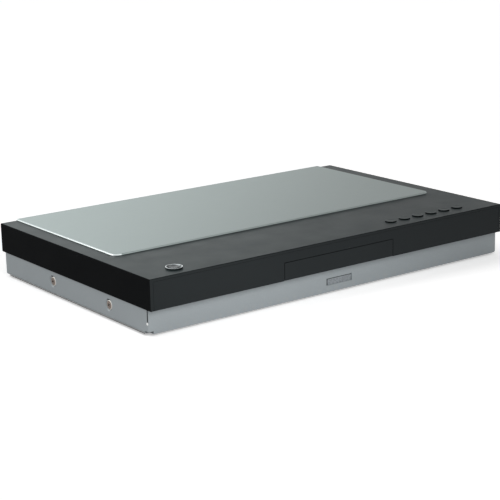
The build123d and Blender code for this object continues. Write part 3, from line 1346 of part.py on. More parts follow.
# Cam slider: its sloped slot carries the traverse pin down as it moves to the right
with BuildPart() as cam_slider:
    cam_left = cam_pin_x - CAM_TRAVEL - CAM_DWELL - CAM_EDGE
    cam_right = cam_pin_x + CAM_DWELL + CAM_EDGE
    prism((cam_left, cam_right), (cam_front, cam_back), (cam_z, cam_z + CAM_HEIGHT))
    slot_half = CAM_PIN_RADIUS + CAM_CLEARANCE
    cam_plane = Plane(origin=(0, cam_back, 0), x_dir=(1, 0, 0), z_dir=(0, -1, 0))
    cam_path = [
        (cam_pin_x + CAM_DWELL, PIVOT_Z),
        (cam_pin_x, PIVOT_Z),
        (cam_pin_x - CAM_TRAVEL, PIVOT_Z - cam_drop),
        (cam_pin_x - CAM_TRAVEL - CAM_DWELL, PIVOT_Z - cam_drop),
    ]
    for start, end in zip(cam_path[:-1], cam_path[1:]):
        with BuildSketch(cam_plane):
            with Locations(start, end):
                Circle(slot_half)
            make_hull()
        extrude(amount=CAM_SHEET, mode=Mode.SUBTRACT)
cam_slider.part.label = "cam_slider"
export_step(cam_slider.part, "parts/cam_slider.step")

# Traverse: hinged at the back, with rod blocks, ribs and a cam pin at the front
with BuildPart() as traverse_frame:
    wide = (mid - TRAVERSE_HALF, mid + TRAVERSE_HALF)
    prism(wide, (traverse_front, pivot_y + TRAVERSE_LIP), (traverse_bottom, traverse_top))
    opening_x = (mid - SLED_HALF - SLED_WINDOW_GAP, mid + SLED_HALF + SLED_WINDOW_GAP)
    prism(opening_x, (sled_front - SLED_GAP, rod_ends[1]), (traverse_bottom, traverse_top), Mode.SUBTRACT)
    rib_z = (traverse_top, traverse_top + TRAVERSE_RIB_HEIGHT)
    for x in (wide[0], wide[1] - TRAVERSE_RIB):
        prism((x, x + TRAVERSE_RIB), (traverse_front, pivot_y + TRAVERSE_LIP), rib_z)
    for side in (-1, 1):
        root = (mid + side * (TRAVERSE_HALF - PIVOT_OVERLAP), pivot_y, PIVOT_Z)
        rod(root, (side, 0, 0), PIVOT_RADIUS, PIVOT_LENGTH)
    rod((cam_pin_x, traverse_front, PIVOT_Z), (0, -1, 0), CAM_PIN_RADIUS, traverse_front - cam_pin_end)
    for x in (mid - ROD_X, mid + ROD_X):
        for y in rod_ends:
            block_z = (traverse_bottom, ROD_Z + ROD_RADIUS + ROD_SEAT)
            prism((x - BLOCK_HALF, x + BLOCK_HALF), (y, y + BLOCK_LENGTH), block_z)
        rod((x, rod_start, ROD_Z), (0, 1, 0), ROD_RADIUS, rod_length, Mode.SUBTRACT)
    screw_block_x = (lead_x - BLOCK_HALF, lead_x + BLOCK_HALF)
    prism(screw_block_x, (rod_ends[1], rod_ends[1] + BLOCK_LENGTH), (traverse_top, SCREW_Z + BLOCK_HALF))
    rod((lead_x, rod_ends[1], SCREW_Z), (0, 1, 0), FEED_SHAFT + SHAFT_CLEARANCE, BLOCK_LENGTH, Mode.SUBTRACT)
    bush_hole = SPINDLE_BUSH + SPINDLE_BUSH_GAP
    rod((mid, spindle_y, traverse_bottom), (0, 0, 1), bush_hole, TRAVERSE_SHEET, Mode.SUBTRACT)
traverse_frame.part.label = "traverse_frame"
export_step(traverse_frame.part, "parts/traverse_frame.step")

with BuildPart() as spindle_base:
    plate_top = traverse_top + SPINDLE_PLATE
    prism(
        (mid - SPINDLE_PLATE_X / 2, mid + SPINDLE_PLATE_X / 2),
        (spindle_y - SPINDLE_PLATE_Y / 2, spindle_y + SPINDLE_PLATE_Y / 2),
        (traverse_top, plate_top),
    )
    bush_foot = traverse_bottom - SPINDLE_BUSH_DROP
    rod((mid, spindle_y, bush_foot), (0, 0, 1), SPINDLE_BUSH, plate_top - bush_foot)
    spindle_bore = SPINDLE_SHAFT + SHAFT_CLEARANCE
    rod((mid, spindle_y, traverse_bottom), (0, 0, 1), spindle_bore, plate_top - traverse_bottom, Mode.SUBTRACT)
spindle_base.part.label = "spindle_base"
export_step(spindle_base.part, "parts/spindle_base.step")

rotor_z = plate_top + ROTOR_GAP
with BuildPart() as spindle_rotor:
    shaft_foot = traverse_bottom + ROTOR_GAP
    rod((mid, spindle_y, rotor_z), (0, 0, 1), ROTOR_RADIUS, ROTOR_HEIGHT)
    rod((mid, spindle_y, shaft_foot), (0, 0, 1), SPINDLE_SHAFT, rotor_z - shaft_foot)
spindle_rotor.part.label = "spindle_rotor"
export_step(spindle_rotor.part, "parts/spindle_rotor.step")

with BuildPart() as turntable:
    turned(
        [
            (0, rotor_z + ROTOR_HEIGHT),
            (TURNTABLE_NECK, rotor_z + ROTOR_HEIGHT),
            (TURNTABLE_NECK, SEAT_Z - TURNTABLE_SHEET),
            (TURNTABLE_RADIUS, SEAT_Z - TURNTABLE_SHEET),
            (TURNTABLE_RADIUS, SEAT_Z),
            (TURNTABLE_RADIUS - TURNTABLE_BAND, SEAT_Z),
            (TURNTABLE_RADIUS - TURNTABLE_BAND, SEAT_Z - TURNTABLE_DISH),
            (HUB_RADIUS, SEAT_Z - TURNTABLE_DISH),
            (HUB_RADIUS, SEAT_Z + HUB_SIDE),
            (HUB_RADIUS - HUB_TAPER, SEAT_Z + HUB_RISE),
            (0, SEAT_Z + HUB_RISE),
        ],
        (mid, spindle_y),
    )
turntable.part.label = "turntable"
export_step(turntable.part, "parts/turntable.step")

with BuildPart() as guide_rods:
    for x in (mid - ROD_X, mid + ROD_X):
        rod((x, rod_start, ROD_Z), (0, 1, 0), ROD_RADIUS, rod_length)
guide_rods.part.label = "guide_rods"
export_step(guide_rods.part, "parts/guide_rods.step")

# Pickup sled on the two rods, with a lens tower and a nut round the lead screw
with BuildPart() as pickup_sled:
    prism((mid - SLED_HALF, mid + SLED_HALF), (sled_front, sled_back), (SLED_BOTTOM, SLED_TOP))
    chamfer(pickup_sled.edges().filter_by(Axis.Z), SLED_CORNER)
    arm = (mid + SLED_HALF - SLED_CORNER / 2, lead_x + LEAD_RADIUS + NUT_WALL)
    prism(arm, (nut_y, nut_y + NUT_LENGTH), (traverse_top + NUT_LIFT, SLED_TOP))
    half = TOWER_SIDE / 2
    prism((mid - half, mid + half), (lens_y - half, lens_y + half), (SLED_TOP, TOWER_TOP))
    for x in (mid - ROD_X, mid + ROD_X):
        rod((x, sled_front, ROD_Z), (0, 1, 0), ROD_RADIUS + SHAFT_CLEARANCE, SLED_LENGTH, Mode.SUBTRACT)
    rod((lead_x, nut_y, SCREW_Z), (0, 1, 0), LEAD_RADIUS + NUT_CLEARANCE, NUT_LENGTH, Mode.SUBTRACT)
    lens_well = LENS_SINK + LENS_FOCUS + LENS_FLOOR_GAP
    rod((mid, lens_y, TOWER_TOP - lens_well), (0, 0, 1), LENS_RADIUS + LENS_CLEARANCE, lens_well, Mode.SUBTRACT)
pickup_sled.part.label = "pickup_sled"
export_step(pickup_sled.part, "parts/pickup_sled.step")

with BuildPart() as objective_lens:
    turned(
        [
            (0, TOWER_TOP - LENS_SINK),
            (LENS_RADIUS, TOWER_TOP - LENS_SINK),
            (LENS_RADIUS, TOWER_TOP + LENS_RIM),
            (LENS_RADIUS - LENS_RIM_WIDTH, TOWER_TOP + LENS_RIM),
            (LENS_RADIUS - LENS_RIM_WIDTH - LENS_STEP, TOWER_TOP + LENS_RIM + LENS_STEP),
            (0, TOWER_TOP + LENS_CROWN),
        ],
        (mid, lens_y),
    )
objective_lens.part.label = "objective_lens"
export_step(objective_lens.part, "parts/objective_lens.step")

# Feed: a flat-footed motor and the lead screw
with BuildPart() as feed_motor:
    rod((lead_x, feed_front, SCREW_Z), (0, 1, 0), FEED_RADIUS, FEED_LENGTH)
    prism((lead_x - BLOCK_HALF, lead_x + BLOCK_HALF), (feed_front, feed_back), (traverse_top, SCREW_Z))
    feed_bore = FEED_SHAFT + SHAFT_CLEARANCE
    rod((lead_x, feed_back, SCREW_Z), (0, -1, 0), feed_bore, FEED_SHAFT_LENGTH + LEAD_GAP, Mode.SUBTRACT)
feed_motor.part.label = "feed_motor"
export_step(feed_motor.part, "parts/feed_motor.step")

with BuildPart() as lead_screw:
    thread_start = feed_back + LEAD_GAP
    shaft_start = feed_back - FEED_SHAFT_LENGTH
    rod((lead_x, thread_start, SCREW_Z), (0, 1, 0), LEAD_RADIUS, rod_ends[1] - LEAD_GAP - thread_start)
    rod((lead_x, shaft_start, SCREW_Z), (0, 1, 0), FEED_SHAFT, rod_ends[1] + BLOCK_HALF - shaft_start)
lead_screw.part.label = "lead_screw"
export_step(lead_screw.part, "parts/lead_screw.step")
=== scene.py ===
import json
import logging
import math
from collections.abc import Callable
from dataclasses import dataclass, replace
from enum import Enum

import bmesh
import bpy
from mathutils import Matrix, Vector

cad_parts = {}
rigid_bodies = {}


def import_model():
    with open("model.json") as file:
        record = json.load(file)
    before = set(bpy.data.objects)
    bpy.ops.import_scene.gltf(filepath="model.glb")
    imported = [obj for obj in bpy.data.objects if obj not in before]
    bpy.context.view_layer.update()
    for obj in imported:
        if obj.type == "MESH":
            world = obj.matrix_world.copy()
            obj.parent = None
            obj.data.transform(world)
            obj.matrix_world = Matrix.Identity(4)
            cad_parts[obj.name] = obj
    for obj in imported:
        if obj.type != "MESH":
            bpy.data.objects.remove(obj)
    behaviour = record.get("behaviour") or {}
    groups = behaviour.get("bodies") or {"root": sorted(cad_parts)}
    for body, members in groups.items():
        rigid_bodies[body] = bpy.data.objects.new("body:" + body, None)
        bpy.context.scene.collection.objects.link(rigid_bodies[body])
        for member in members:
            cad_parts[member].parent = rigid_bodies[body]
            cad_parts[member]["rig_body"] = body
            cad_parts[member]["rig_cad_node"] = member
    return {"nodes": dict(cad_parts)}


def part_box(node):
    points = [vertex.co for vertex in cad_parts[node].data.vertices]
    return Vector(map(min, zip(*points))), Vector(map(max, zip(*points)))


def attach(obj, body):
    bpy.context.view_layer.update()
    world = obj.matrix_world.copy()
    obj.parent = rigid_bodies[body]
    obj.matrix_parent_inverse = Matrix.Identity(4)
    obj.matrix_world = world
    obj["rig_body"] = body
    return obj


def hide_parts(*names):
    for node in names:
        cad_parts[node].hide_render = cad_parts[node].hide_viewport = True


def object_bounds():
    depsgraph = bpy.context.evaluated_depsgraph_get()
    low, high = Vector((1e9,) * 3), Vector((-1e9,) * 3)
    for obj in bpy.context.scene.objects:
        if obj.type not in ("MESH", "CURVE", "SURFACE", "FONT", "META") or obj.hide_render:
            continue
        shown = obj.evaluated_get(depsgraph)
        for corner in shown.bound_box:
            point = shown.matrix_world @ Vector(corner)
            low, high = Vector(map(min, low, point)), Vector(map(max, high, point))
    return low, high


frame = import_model()
cad_low, cad_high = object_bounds()

logging.basicConfig(level=logging.INFO, format="%(message)s")
log = logging.getLogger("recorder")

Colour = tuple[float, float, float]
Point = tuple[float, float, float]
Pair = tuple[float, float]
Piece = bpy.types.Object
Socket = bpy.types.NodeSocket

MM = 0.001
UM = 0.000001
WHITE: Colour = (1.0, 1.0, 1.0)
UP: Point = (0.0, 0.0, 1.0)
PHOTO_PIXELS = 500
SMOOTH_ANGLE = math.radians(32.0)
SOFTENED_ANGLE = math.radians(35.0)
FLAT_ANGLE = math.radians(0.6)
MERGE_GAP = 2 * UM
TURNED_GAP = 0.5 * UM
LEVEL_WEIGHT = 100
SIDE_SHARE = 0.45
LEAST_ROUGHNESS = 0.02
NOISE_MIDDLE: Pair = (0.25, 0.75)
LINE_STRETCH = 0.015
TRACK_EDGE: Pair = (0.05, 0.12)
TRACK_LIGHT = 1.3
PAD_EDGE: Pair = (0.14, 0.18)
SOLDER: Colour = (0.62, 0.6, 0.55)
CLEARNESS = 0.7
FINISH_ENDING = "_finish"


class Surface(Enum):
    """The ways in which a surface of the recorder is made."""

    MOULDED = "fine spark-eroded grain of a moulding"
    POLISHED = "polished moulding with faint waves and hairline scratches"
    PAINTED = "sprayed metallic paint over sheet"
    BRUSHED = "drawn metal with fine lines along one axis"
    PLATED = "smooth plating with faint clouding"
    CAST = "rough cast metal"
    RUBBER = "dull rubber"
    BOARD = "solder mask over copper tracks"
    WOUND = "tape or sleeve with a fine weave"
    GLASS = "dark clear glass"


def shade(colour: Colour, factor: float) -> Colour:
    """Make a colour lighter or darker by a factor."""
    return tuple(min(channel * factor, 1.0) for channel in colour)


def mixed(tree: bpy.types.NodeTree, share: Socket, first: Colour | Socket, second: Colour) -> Socket:
    """Mix two colours.

    Args:
        tree: the nodes that it is done in.
        share: how much of the second colour shows.
        first: the colour at 0, or the socket that gives it.
        second: the colour at 1.

    Returns:
        The mixed colour.
    """
    node = tree.nodes.new("ShaderNodeMix")
    node.data_type = "RGBA"
    ends = [socket for socket in node.inputs if socket.type == "RGBA"]
    for colour, end in zip((first, second), ends):
        if isinstance(colour, tuple):
            end.default_value = (*colour, 1.0)
        else:
            tree.links.new(colour, end)
    tree.links.new(share, node.inputs["Factor"])
    return next(socket for socket in node.outputs if socket.type == "RGBA")


class Wiring:
    """The nodes of one material, with a Principled shader at their end."""

    def __init__(self, name: str) -> None:
        """Start an empty material.

        Args:
            name: the material's name.
        """
        self.material = bpy.data.materials.new(name)
        self.material.use_nodes = True
        self.tree = self.material.node_tree
        self.tree.nodes.clear()
        self.shader = self.tree.nodes.new("ShaderNodeBsdfPrincipled")
        output = self.tree.nodes.new("ShaderNodeOutputMaterial")
        self.link(self.shader.outputs["BSDF"], output.inputs["Surface"])
        self.place = self.tree.nodes.new("ShaderNodeTexCoord").outputs["Object"]

    def link(self, source: Socket, target: Socket) -> None:
        """Join two sockets."""
        self.tree.links.new(source, target)

    def noise(self, size: float, detail: float = 2.0, stretch: Point = (1.0, 1.0, 1.0)) -> Socket:
        """Make a noise whose features have about the given size.

        Args:
            size: the feature size in metres.
            detail: the number of finer layers.
            stretch: the factor on each axis, where a small one draws the noise out.

        Returns:
            The noise, about 0.5 on average.
        """
        mapping = self.tree.nodes.new("ShaderNodeMapping")
        mapping.inputs["Scale"].default_value = stretch
        self.link(self.place, mapping.inputs["Vector"])
        node = self.tree.nodes.new("ShaderNodeTexNoise")
        node.inputs["Scale"].default_value = 1.0 / size
        node.inputs["Detail"].default_value = detail
        self.link(mapping.outputs["Vector"], node.inputs["Vector"])
        return node.outputs["Fac"]

    def cells(self, size: float, feature: str = "F1") -> Socket:
        """Make a cell pattern.

        Args:
            size: the cell size in metres.
            feature: which distance of the cells is given.

        Returns:
            The distance inside each cell.
        """
        node = self.tree.nodes.new("ShaderNodeTexVoronoi")
        node.feature = feature
        node.inputs["Scale"].default_value = 1.0 / size
        self.link(self.place, node.inputs["Vector"])
        return node.outputs["Distance"]

    def spread(self, value: Socket, source: Pair, target: Pair = (0.0, 1.0)) -> Socket:
        """Map one range of values to another, clamped.

        Args:
            value: the value to map.
            source: the lowest and highest value in.
            target: what they become.

        Returns:
            The mapped value.
        """
        node = self.tree.nodes.new("ShaderNodeMapRange")
        node.inputs["From Min"].default_value, node.inputs["From Max"].default_value = source
        node.inputs["To Min"].default_value, node.inputs["To Max"].default_value = target
        self.link(value, node.inputs["Value"])
        return node.outputs["Result"]

    def paint(self, share: Socket, first: Colour | Socket, second: Colour) -> None:
        """Colour the shader between two colours, by a map."""
        self.link(mixed(self.tree, share, first, second), self.shader.inputs["Base Color"])

    def relief(self, height: Socket, depth: float) -> None:
        """Raise the surface by a height map.

        Args:
            height: the map, from 0 to 1.
            depth: its height in metres.
        """
        node = self.tree.nodes.new("ShaderNodeBump")
        node.inputs["Distance"].default_value = depth
        self.link(height, node.inputs["Height"])
        self.link(node.outputs["Normal"], self.shader.inputs["Normal"])


@dataclass(frozen=True)
class Finish:
    """One finish of the recorder.

    Args:
        name: the finish's name.
        slot: the record's material slot that it stands for; not used by the script.
        surface: how it is made.
        colour: its colour, linear.
        roughness: its middle roughness.
        metallic: 1 on bare metal.
        specular: the level of its clear reflection.
        grain: the size of its grain in metres.
        depth: the height of its grain in metres.
        drift: the share by which its colour wanders.
        along: the axis that brushed lines follow.
        sheen: the tint of its clear reflection.
    """

    name: str
    slot: str
    surface: Surface
    colour: Colour
    roughness: float = 0.5
    metallic: float = 0.0
    specular: float = 0.5
    grain: float = 0.4 * MM
    depth: float = 10 * UM
    drift: float = 0.05
    along: int = 0
    sheen: Colour = WHITE

    def material(self) -> bpy.types.Material:
        """Build the material once, and give the same one after that."""
        label = self.name + FINISH_ENDING
        return bpy.data.materials.get(label) or Skin(label, self).material


class Skin(Wiring):
    """The nodes of one finish, wired by the way in which its surface is made."""

    def __init__(self, label: str, finish: Finish) -> None:
        """Set what is the same all over the surface, and wire what varies.

        Args:
            label: the material's name.
            finish: the finish that it shows.
        """
        super().__init__(label)
        self.finish = finish
        self.shader.inputs["Metallic"].default_value = finish.metallic
        self.shader.inputs["Specular IOR Level"].default_value = finish.specular
        self.shader.inputs["Specular Tint"].default_value = (*finish.sheen, 1.0)
        {
            Surface.MOULDED: self.moulded,
            Surface.POLISHED: self.polished,
            Surface.PAINTED: self.painted,
            Surface.BRUSHED: self.brushed,
            Surface.PLATED: self.plated,
            Surface.CAST: self.cast,
            Surface.RUBBER: self.moulded,
            Surface.BOARD: self.board,
            Surface.WOUND: self.wound,
            Surface.GLASS: self.glass,
        }[finish.surface]()

    def wander(self, value: Socket, limits: Pair = (0.3, 0.7)) -> None:
        """Let the colour follow a map, by the finish's drift to each side.

        Args:
            value: the map.
            limits: the values at which the colour is darkest and lightest.
        """
        dark, light = (shade(self.finish.colour, 1.0 + side * self.finish.drift) for side in (-1, 1))
        self.paint(self.spread(value, limits), dark, light)

    def gloss(self, value: Socket, span: float) -> None:
        """Let the roughness follow a map.

        Args:
            value: the map.
            span: how far the roughness goes to each side of the finish's own.
        """
        middle = self.finish.roughness
        bounds = (max(middle - span, LEAST_ROUGHNESS), min(middle + span, 1.0))
        self.link(self.spread(value, NOISE_MIDDLE, bounds), self.shader.inputs["Roughness"])

    def moulded(self) -> None:
        """Fine pits of a moulding, with a faint cloud of handling over them."""
        self.wander(self.noise(size=50 * MM, detail=3.0))
        self.gloss(self.noise(size=30 * MM, detail=3.0), span=0.04)
        self.relief(self.noise(self.finish.grain), self.finish.depth)

    def polished(self) -> None:
        """A polished moulding: faint waves and hairline scratches."""
        self.wander(self.noise(size=80 * MM, detail=3.0))
        self.gloss(self.noise(size=2 * MM, detail=1.0, stretch=(0.06, 1.0, 1.0)), span=0.03)
        self.relief(self.noise(size=20 * MM, detail=1.0), self.finish.depth)

    def painted(self) -> None:
        """Metallic paint: small flakes in the colour and orange peel in the coat."""
        self.wander(self.cells(self.finish.grain), limits=(0.1, 0.7))
        self.gloss(self.noise(size=20 * MM, detail=3.0), span=0.05)
        self.relief(self.noise(size=1.4 * MM), self.finish.depth)

    def brushed(self) -> None:
        """Fine drawn lines along one axis, in the colour, the gloss and the height."""
        stretch = [1.0, 1.0, 1.0]
        stretch[self.finish.along] = LINE_STRETCH
        line = self.noise(self.finish.grain, detail=3.0, stretch=tuple(stretch))
        self.wander(line)
        self.gloss(line, span=0.06)
        self.relief(line, self.finish.depth)

    def plated(self) -> None:
        """Plating that clouds a little where it was handled."""
        self.wander(self.noise(size=6 * MM, detail=3.0))
        self.gloss(self.noise(size=4 * MM, detail=4.0), span=0.05)
        self.relief(self.noise(self.finish.grain), self.finish.depth)

    def cast(self) -> None:
        """The pitted skin of a casting."""
        self.wander(self.noise(size=4 * MM, detail=3.0))
        self.gloss(self.noise(size=1 * MM, detail=4.0), span=0.08)
        self.relief(self.noise(self.finish.grain, detail=5.0), self.finish.depth)

    def board(self) -> None:
        """Solder mask with paler tracks under it and bright pads."""
        tracks = self.cells(size=3.5 * MM, feature="DISTANCE_TO_EDGE")
        track = self.spread(tracks, TRACK_EDGE, (1.0, 0.0))
        mask = mixed(self.tree, track, self.finish.colour, shade(self.finish.colour, TRACK_LIGHT))
        pads = self.spread(self.cells(size=4.5 * MM), PAD_EDGE, (1.0, 0.0))
        self.paint(pads, mask, SOLDER)
        self.gloss(self.noise(size=10 * MM), span=0.05)
        self.relief(track, depth=30 * UM)

    def wound(self) -> None:
        """Fine overlapping turns across the piece."""
        turns = self.noise(self.finish.grain, detail=1.0, stretch=(1.0, 0.05, 1.0))
        self.wander(turns, limits=(0.0, 1.0))
        self.gloss(turns, span=0.06)
        self.relief(turns, self.finish.depth)

    def glass(self) -> None:
        """Dark clear glass with faint smears."""
        self.wander(self.noise(size=10 * MM, detail=3.0))
        self.shader.inputs["Transmission Weight"].default_value = CLEARNESS
        self.gloss(self.noise(size=10 * MM, detail=3.0), span=0.03)


@dataclass(frozen=True)
class Finishes:
    """Every finish of the recorder, by the piece that wears it."""

    # Satin black of the lid's top; its teal cast is painted sheen.
    cover_top: Finish = Finish(
        "cover_top_satin", "cover_black", Surface.MOULDED, (0.009, 0.0145, 0.015), 0.32,
        specular=0.17, grain=0.5 * MM, depth=6 * UM, sheen=(0.90, 0.98, 1.0),
    )
    # Darker, duller copy of the lid's black for its sides and chamfers: painted shade.
    cover_side_shade: Finish = Finish(
        "cover_side_matt", "cover_black", Surface.MOULDED, (0.004, 0.0045, 0.005), 0.5,
        specular=0.015, grain=0.6 * MM,
    )
    panel: Finish = Finish(
        "panel_satin", "panel_silver", Surface.BRUSHED, (0.42, 0.47, 0.46), 0.38,
        metallic=1.0, grain=0.3 * MM, depth=1 * UM, drift=0.015,
    )
    # Bright copy of the panel's metal for its left-facing chamfers: a painted highlight.
    panel_rim_highlight: Finish = replace(
        panel, name="panel_rim_cut", colour=(0.84, 0.87, 0.87), roughness=0.16, depth=0.5 * UM, drift=0.01
    )
    # Dark copy of the panel's metal for its upright edges: painted shade.
    panel_edge: Finish = replace(panel_rim_highlight, name="panel_edge_cut", colour=(0.06, 0.07, 0.07), roughness=0.4)
    fascia: Finish = Finish(
        "fascia_polished", "fascia_black", Surface.POLISHED, (0.010, 0.012, 0.013), 0.12,
        specular=0.2, depth=4 * UM, sheen=(0.88, 0.98, 1.0),
    )
    door: Finish = replace(fascia, name="door_polished", slot="door_black")
    chassis: Finish = Finish(
        "chassis_paint", "chassis_silver", Surface.PAINTED, (0.31, 0.34, 0.355), 0.45,
        metallic=0.25, grain=0.5 * MM, depth=6 * UM,
    )
    # Near-black for the chassis' downward faces and the lower wall edges: painted shade.
    underside_shade: Finish = Finish(
        "chassis_sheared", "chassis_silver", Surface.PAINTED, (0.012, 0.014, 0.014), 0.6,
        specular=0.02, grain=0.5 * MM, drift=0.08,
    )
    # Near-white steel for the small disc at the near corner: a painted highlight.
    spot_highlight: Finish = Finish(
        "bare_steel", "chassis_silver", Surface.PLATED, (0.95, 0.95, 0.94), 0.3,
        metallic=0.6, grain=0.8 * MM, depth=4 * UM,
    )
    badge: Finish = Finish(
        "badge_plate", "badge_silver", Surface.PAINTED, (0.23, 0.25, 0.265), 0.45,
        metallic=0.2, grain=1.6 * MM, depth=50 * UM, drift=0.22,
    )
    # Near-black for drawn lines of painted shade at the badge and the slits.
    drawn_shade: Finish = Finish(
        "badge_groove", "badge_silver", Surface.MOULDED, (0.03, 0.034, 0.036), 0.6, specular=0.1
    )
    foot: Finish = Finish(
        "foot_rubber", "foot_rubber", Surface.RUBBER, (0.02, 0.02, 0.02), 0.8, grain=0.6 * MM, depth=30 * UM
    )
    # Screw face: nickel darkened to a brown, which is a painted dark reflection.
    nickel: Finish = Finish(
        "screw_nickel", "screw_nickel", Surface.PLATED, (0.27, 0.22, 0.19), 0.22,
        metallic=1.0, grain=0.8 * MM, depth=6 * UM,
    )
    # Bright copy of the nickel for the head's rim: a painted highlight.
    nickel_rim_highlight: Finish = replace(nickel, name="screw_rim", colour=(0.72, 0.68, 0.63), roughness=0.2)
    # Near-black inside the cross recess: painted shade.
    recess: Finish = Finish(
        "screw_recess", "screw_nickel", Surface.CAST, (0.03, 0.026, 0.022), 0.6, specular=0.1, grain=0.6 * MM
    )
    black_screw: Finish = Finish(
        "screw_black", "screw_black", Surface.PLATED, (0.02, 0.02, 0.022), 0.35,
        metallic=0.6, grain=0.8 * MM, depth=6 * UM,
    )
    chrome: Finish = Finish(
        "ring_chrome", "ring_chrome", Surface.PLATED, (0.92, 0.93, 0.94), 0.05,
        metallic=1.0, grain=2 * MM, depth=2 * UM,
    )
    # Darkened chrome for the ring's walls and slopes: a painted dark reflection.
    chrome_dark_reflection: Finish = replace(chrome, name="ring_dark_chrome", colour=(0.15, 0.16, 0.165), roughness=0.1)
    power: Finish = Finish(
        "power_dark", "power_dark", Surface.MOULDED, (0.02, 0.022, 0.024), 0.25, grain=0.5 * MM, depth=3 * UM
    )
    # Satin black of the function buttons' tops; its teal cast is painted sheen.
    key: Finish = replace(
        cover_top, name="key_satin", slot="key_black", colour=(0.010, 0.0155, 0.016), specular=0.19, depth=4 * UM
    )
    # Darker copy of the buttons' black for their sides: painted shade.
    key_side: Finish = Finish(
        "key_side", "key_black", Surface.MOULDED, (0.003, 0.0033, 0.0035), 0.5,
        specular=0.02, grain=0.5 * MM, depth=4 * UM,
    )
    rear: Finish = Finish(
        "rear_paint", "rear_grey", Surface.PAINTED, (0.38, 0.41, 0.42), 0.45,
        metallic=0.35, grain=0.5 * MM, depth=6 * UM,
    )
    green_board: Finish = Finish("board_green", "board_green", Surface.BOARD, (0.012, 0.10, 0.045), 0.35)
    brown_board: Finish = Finish("board_brown", "board_brown", Surface.BOARD, (0.30, 0.19, 0.08), 0.5)
    spindle_board: Finish = replace(green_board, name="spindle_board", slot="spindle_board")
    black: Finish = Finish(
        "black_moulding", "frame_plastic", Surface.MOULDED, (0.02, 0.02, 0.022), 0.5, grain=0.5 * MM
    )
    tray: Finish = Finish(
        "tray_moulding", "tray_plastic", Surface.MOULDED, (0.022, 0.022, 0.024), 0.45, depth=12 * UM
    )
    acetal: Finish = Finish(
        "acetal", "gear_plastic", Surface.MOULDED, (0.78, 0.77, 0.72), 0.35,
        grain=0.8 * MM, depth=4 * UM, drift=0.02,
    )
    cam: Finish = replace(acetal, name="acetal_grey", slot="cam_plastic", colour=(0.6, 0.6, 0.56))
    belt: Finish = Finish("belt_rubber", "belt_rubber", Surface.RUBBER, (0.015, 0.015, 0.015), 0.7)
    steel: Finish = Finish(
        "zinc_steel", "traverse_steel", Surface.BRUSHED, (0.55, 0.56, 0.57), 0.35,
        metallic=1.0, grain=0.5 * MM, depth=3 * UM, drift=0.08,
    )
    motor: Finish = Finish(
        "motor_steel", "motor_steel", Surface.PLATED, (0.52, 0.53, 0.54), 0.3,
        metallic=1.0, grain=1 * MM, depth=4 * UM,
    )
    ground: Finish = Finish(
        "ground_steel", "rod_steel", Surface.BRUSHED, (0.62, 0.63, 0.64), 0.18,
        metallic=1.0, grain=0.3 * MM, depth=1 * UM, along=1,
    )
    zinc_cast: Finish = Finish(
        "pickup_casting", "pickup_metal", Surface.CAST, (0.42, 0.43, 0.44), 0.5,
        metallic=0.9, grain=0.8 * MM, depth=30 * UM,
    )
    lens: Finish = Finish("lens_glass", "lens_glass", Surface.GLASS, (0.35, 0.4, 0.7), 0.05)
    display: Finish = Finish("display_glass", "display_glass", Surface.GLASS, (0.03, 0.06, 0.06), 0.08)
    tape: Finish = Finish(
        "transformer_tape", "transformer_tape", Surface.WOUND, (0.65, 0.5, 0.06), 0.4,
        grain=2 * MM, depth=50 * UM, drift=0.12,
    )
    sleeve: Finish = Finish(
        "capacitor_sleeve", "capacitor_sleeve", Surface.WOUND, (0.02, 0.025, 0.10), 0.3, grain=4 * MM
    )
    sink: Finish = Finish(
        "extruded_aluminium", "sink_aluminium", Surface.BRUSHED, (0.55, 0.56, 0.57), 0.4,
        metallic=1.0, grain=0.6 * MM, depth=5 * UM, along=1,
    )
    can: Finish = Finish(
        "tinned_steel", "can_steel", Surface.PLATED, (0.6, 0.61, 0.62), 0.3, metallic=1.0, grain=3 * MM
    )
    socket: Finish = Finish(
        "nickel_socket", "socket_metal", Surface.PLATED, (0.66, 0.64, 0.58), 0.2,
        metallic=1.0, grain=1 * MM, depth=3 * UM,
    )
    jack_red: Finish = Finish(
        "jack_red", "insulator_plastic", Surface.MOULDED, (0.45, 0.012, 0.010), 0.35, grain=0.6 * MM, depth=5 * UM
    )
    jack_white: Finish = replace(jack_red, name="jack_white", colour=(0.70, 0.69, 0.65))
    jack_yellow: Finish = replace(jack_red, name="jack_yellow", colour=(0.68, 0.48, 0.02))
    chip: Finish = Finish(
        "chip_moulding", "chip_black", Surface.MOULDED, (0.02, 0.02, 0.022), 0.6, grain=0.3 * MM, depth=8 * UM
    )


FINISH = Finishes()


def placed(name: str, mesh: bpy.types.Mesh) -> Piece:
    """Put a mesh into the scene.

    Args:
        name: the piece's name.
        mesh: its mesh.

    Returns:
        The piece, not yet seated.
    """
    piece = bpy.data.objects.new(name, mesh)
    bpy.context.scene.collection.objects.link(piece)
    return piece


def made(name: str, work: bmesh.types.BMesh) -> Piece:
    """Turn worked faces into a piece of the scene, and free them.

    Args:
        name: the piece's name.
        work: the worked faces.

    Returns:
        The piece, not yet seated.
    """
    mesh = bpy.data.meshes.new(name)
    work.to_mesh(mesh)
    work.free()
    return placed(name, mesh)


def apply_modifiers(piece: Piece) -> None:
    """Bake a piece's modifiers into its mesh.

    Args:
        piece: the piece.
    """
    graph = bpy.context.evaluated_depsgraph_get()
    baked = bpy.data.meshes.new_from_object(piece.evaluated_get(graph))
    piece.modifiers.clear()
    piece.data = baked


def smooth(piece: Piece) -> None:
    """Shade a piece smooth up to its sharp edges."""
    piece.data.shade_smooth()
    piece.data.set_sharp_from_angle(angle=SMOOTH_ANGLE)


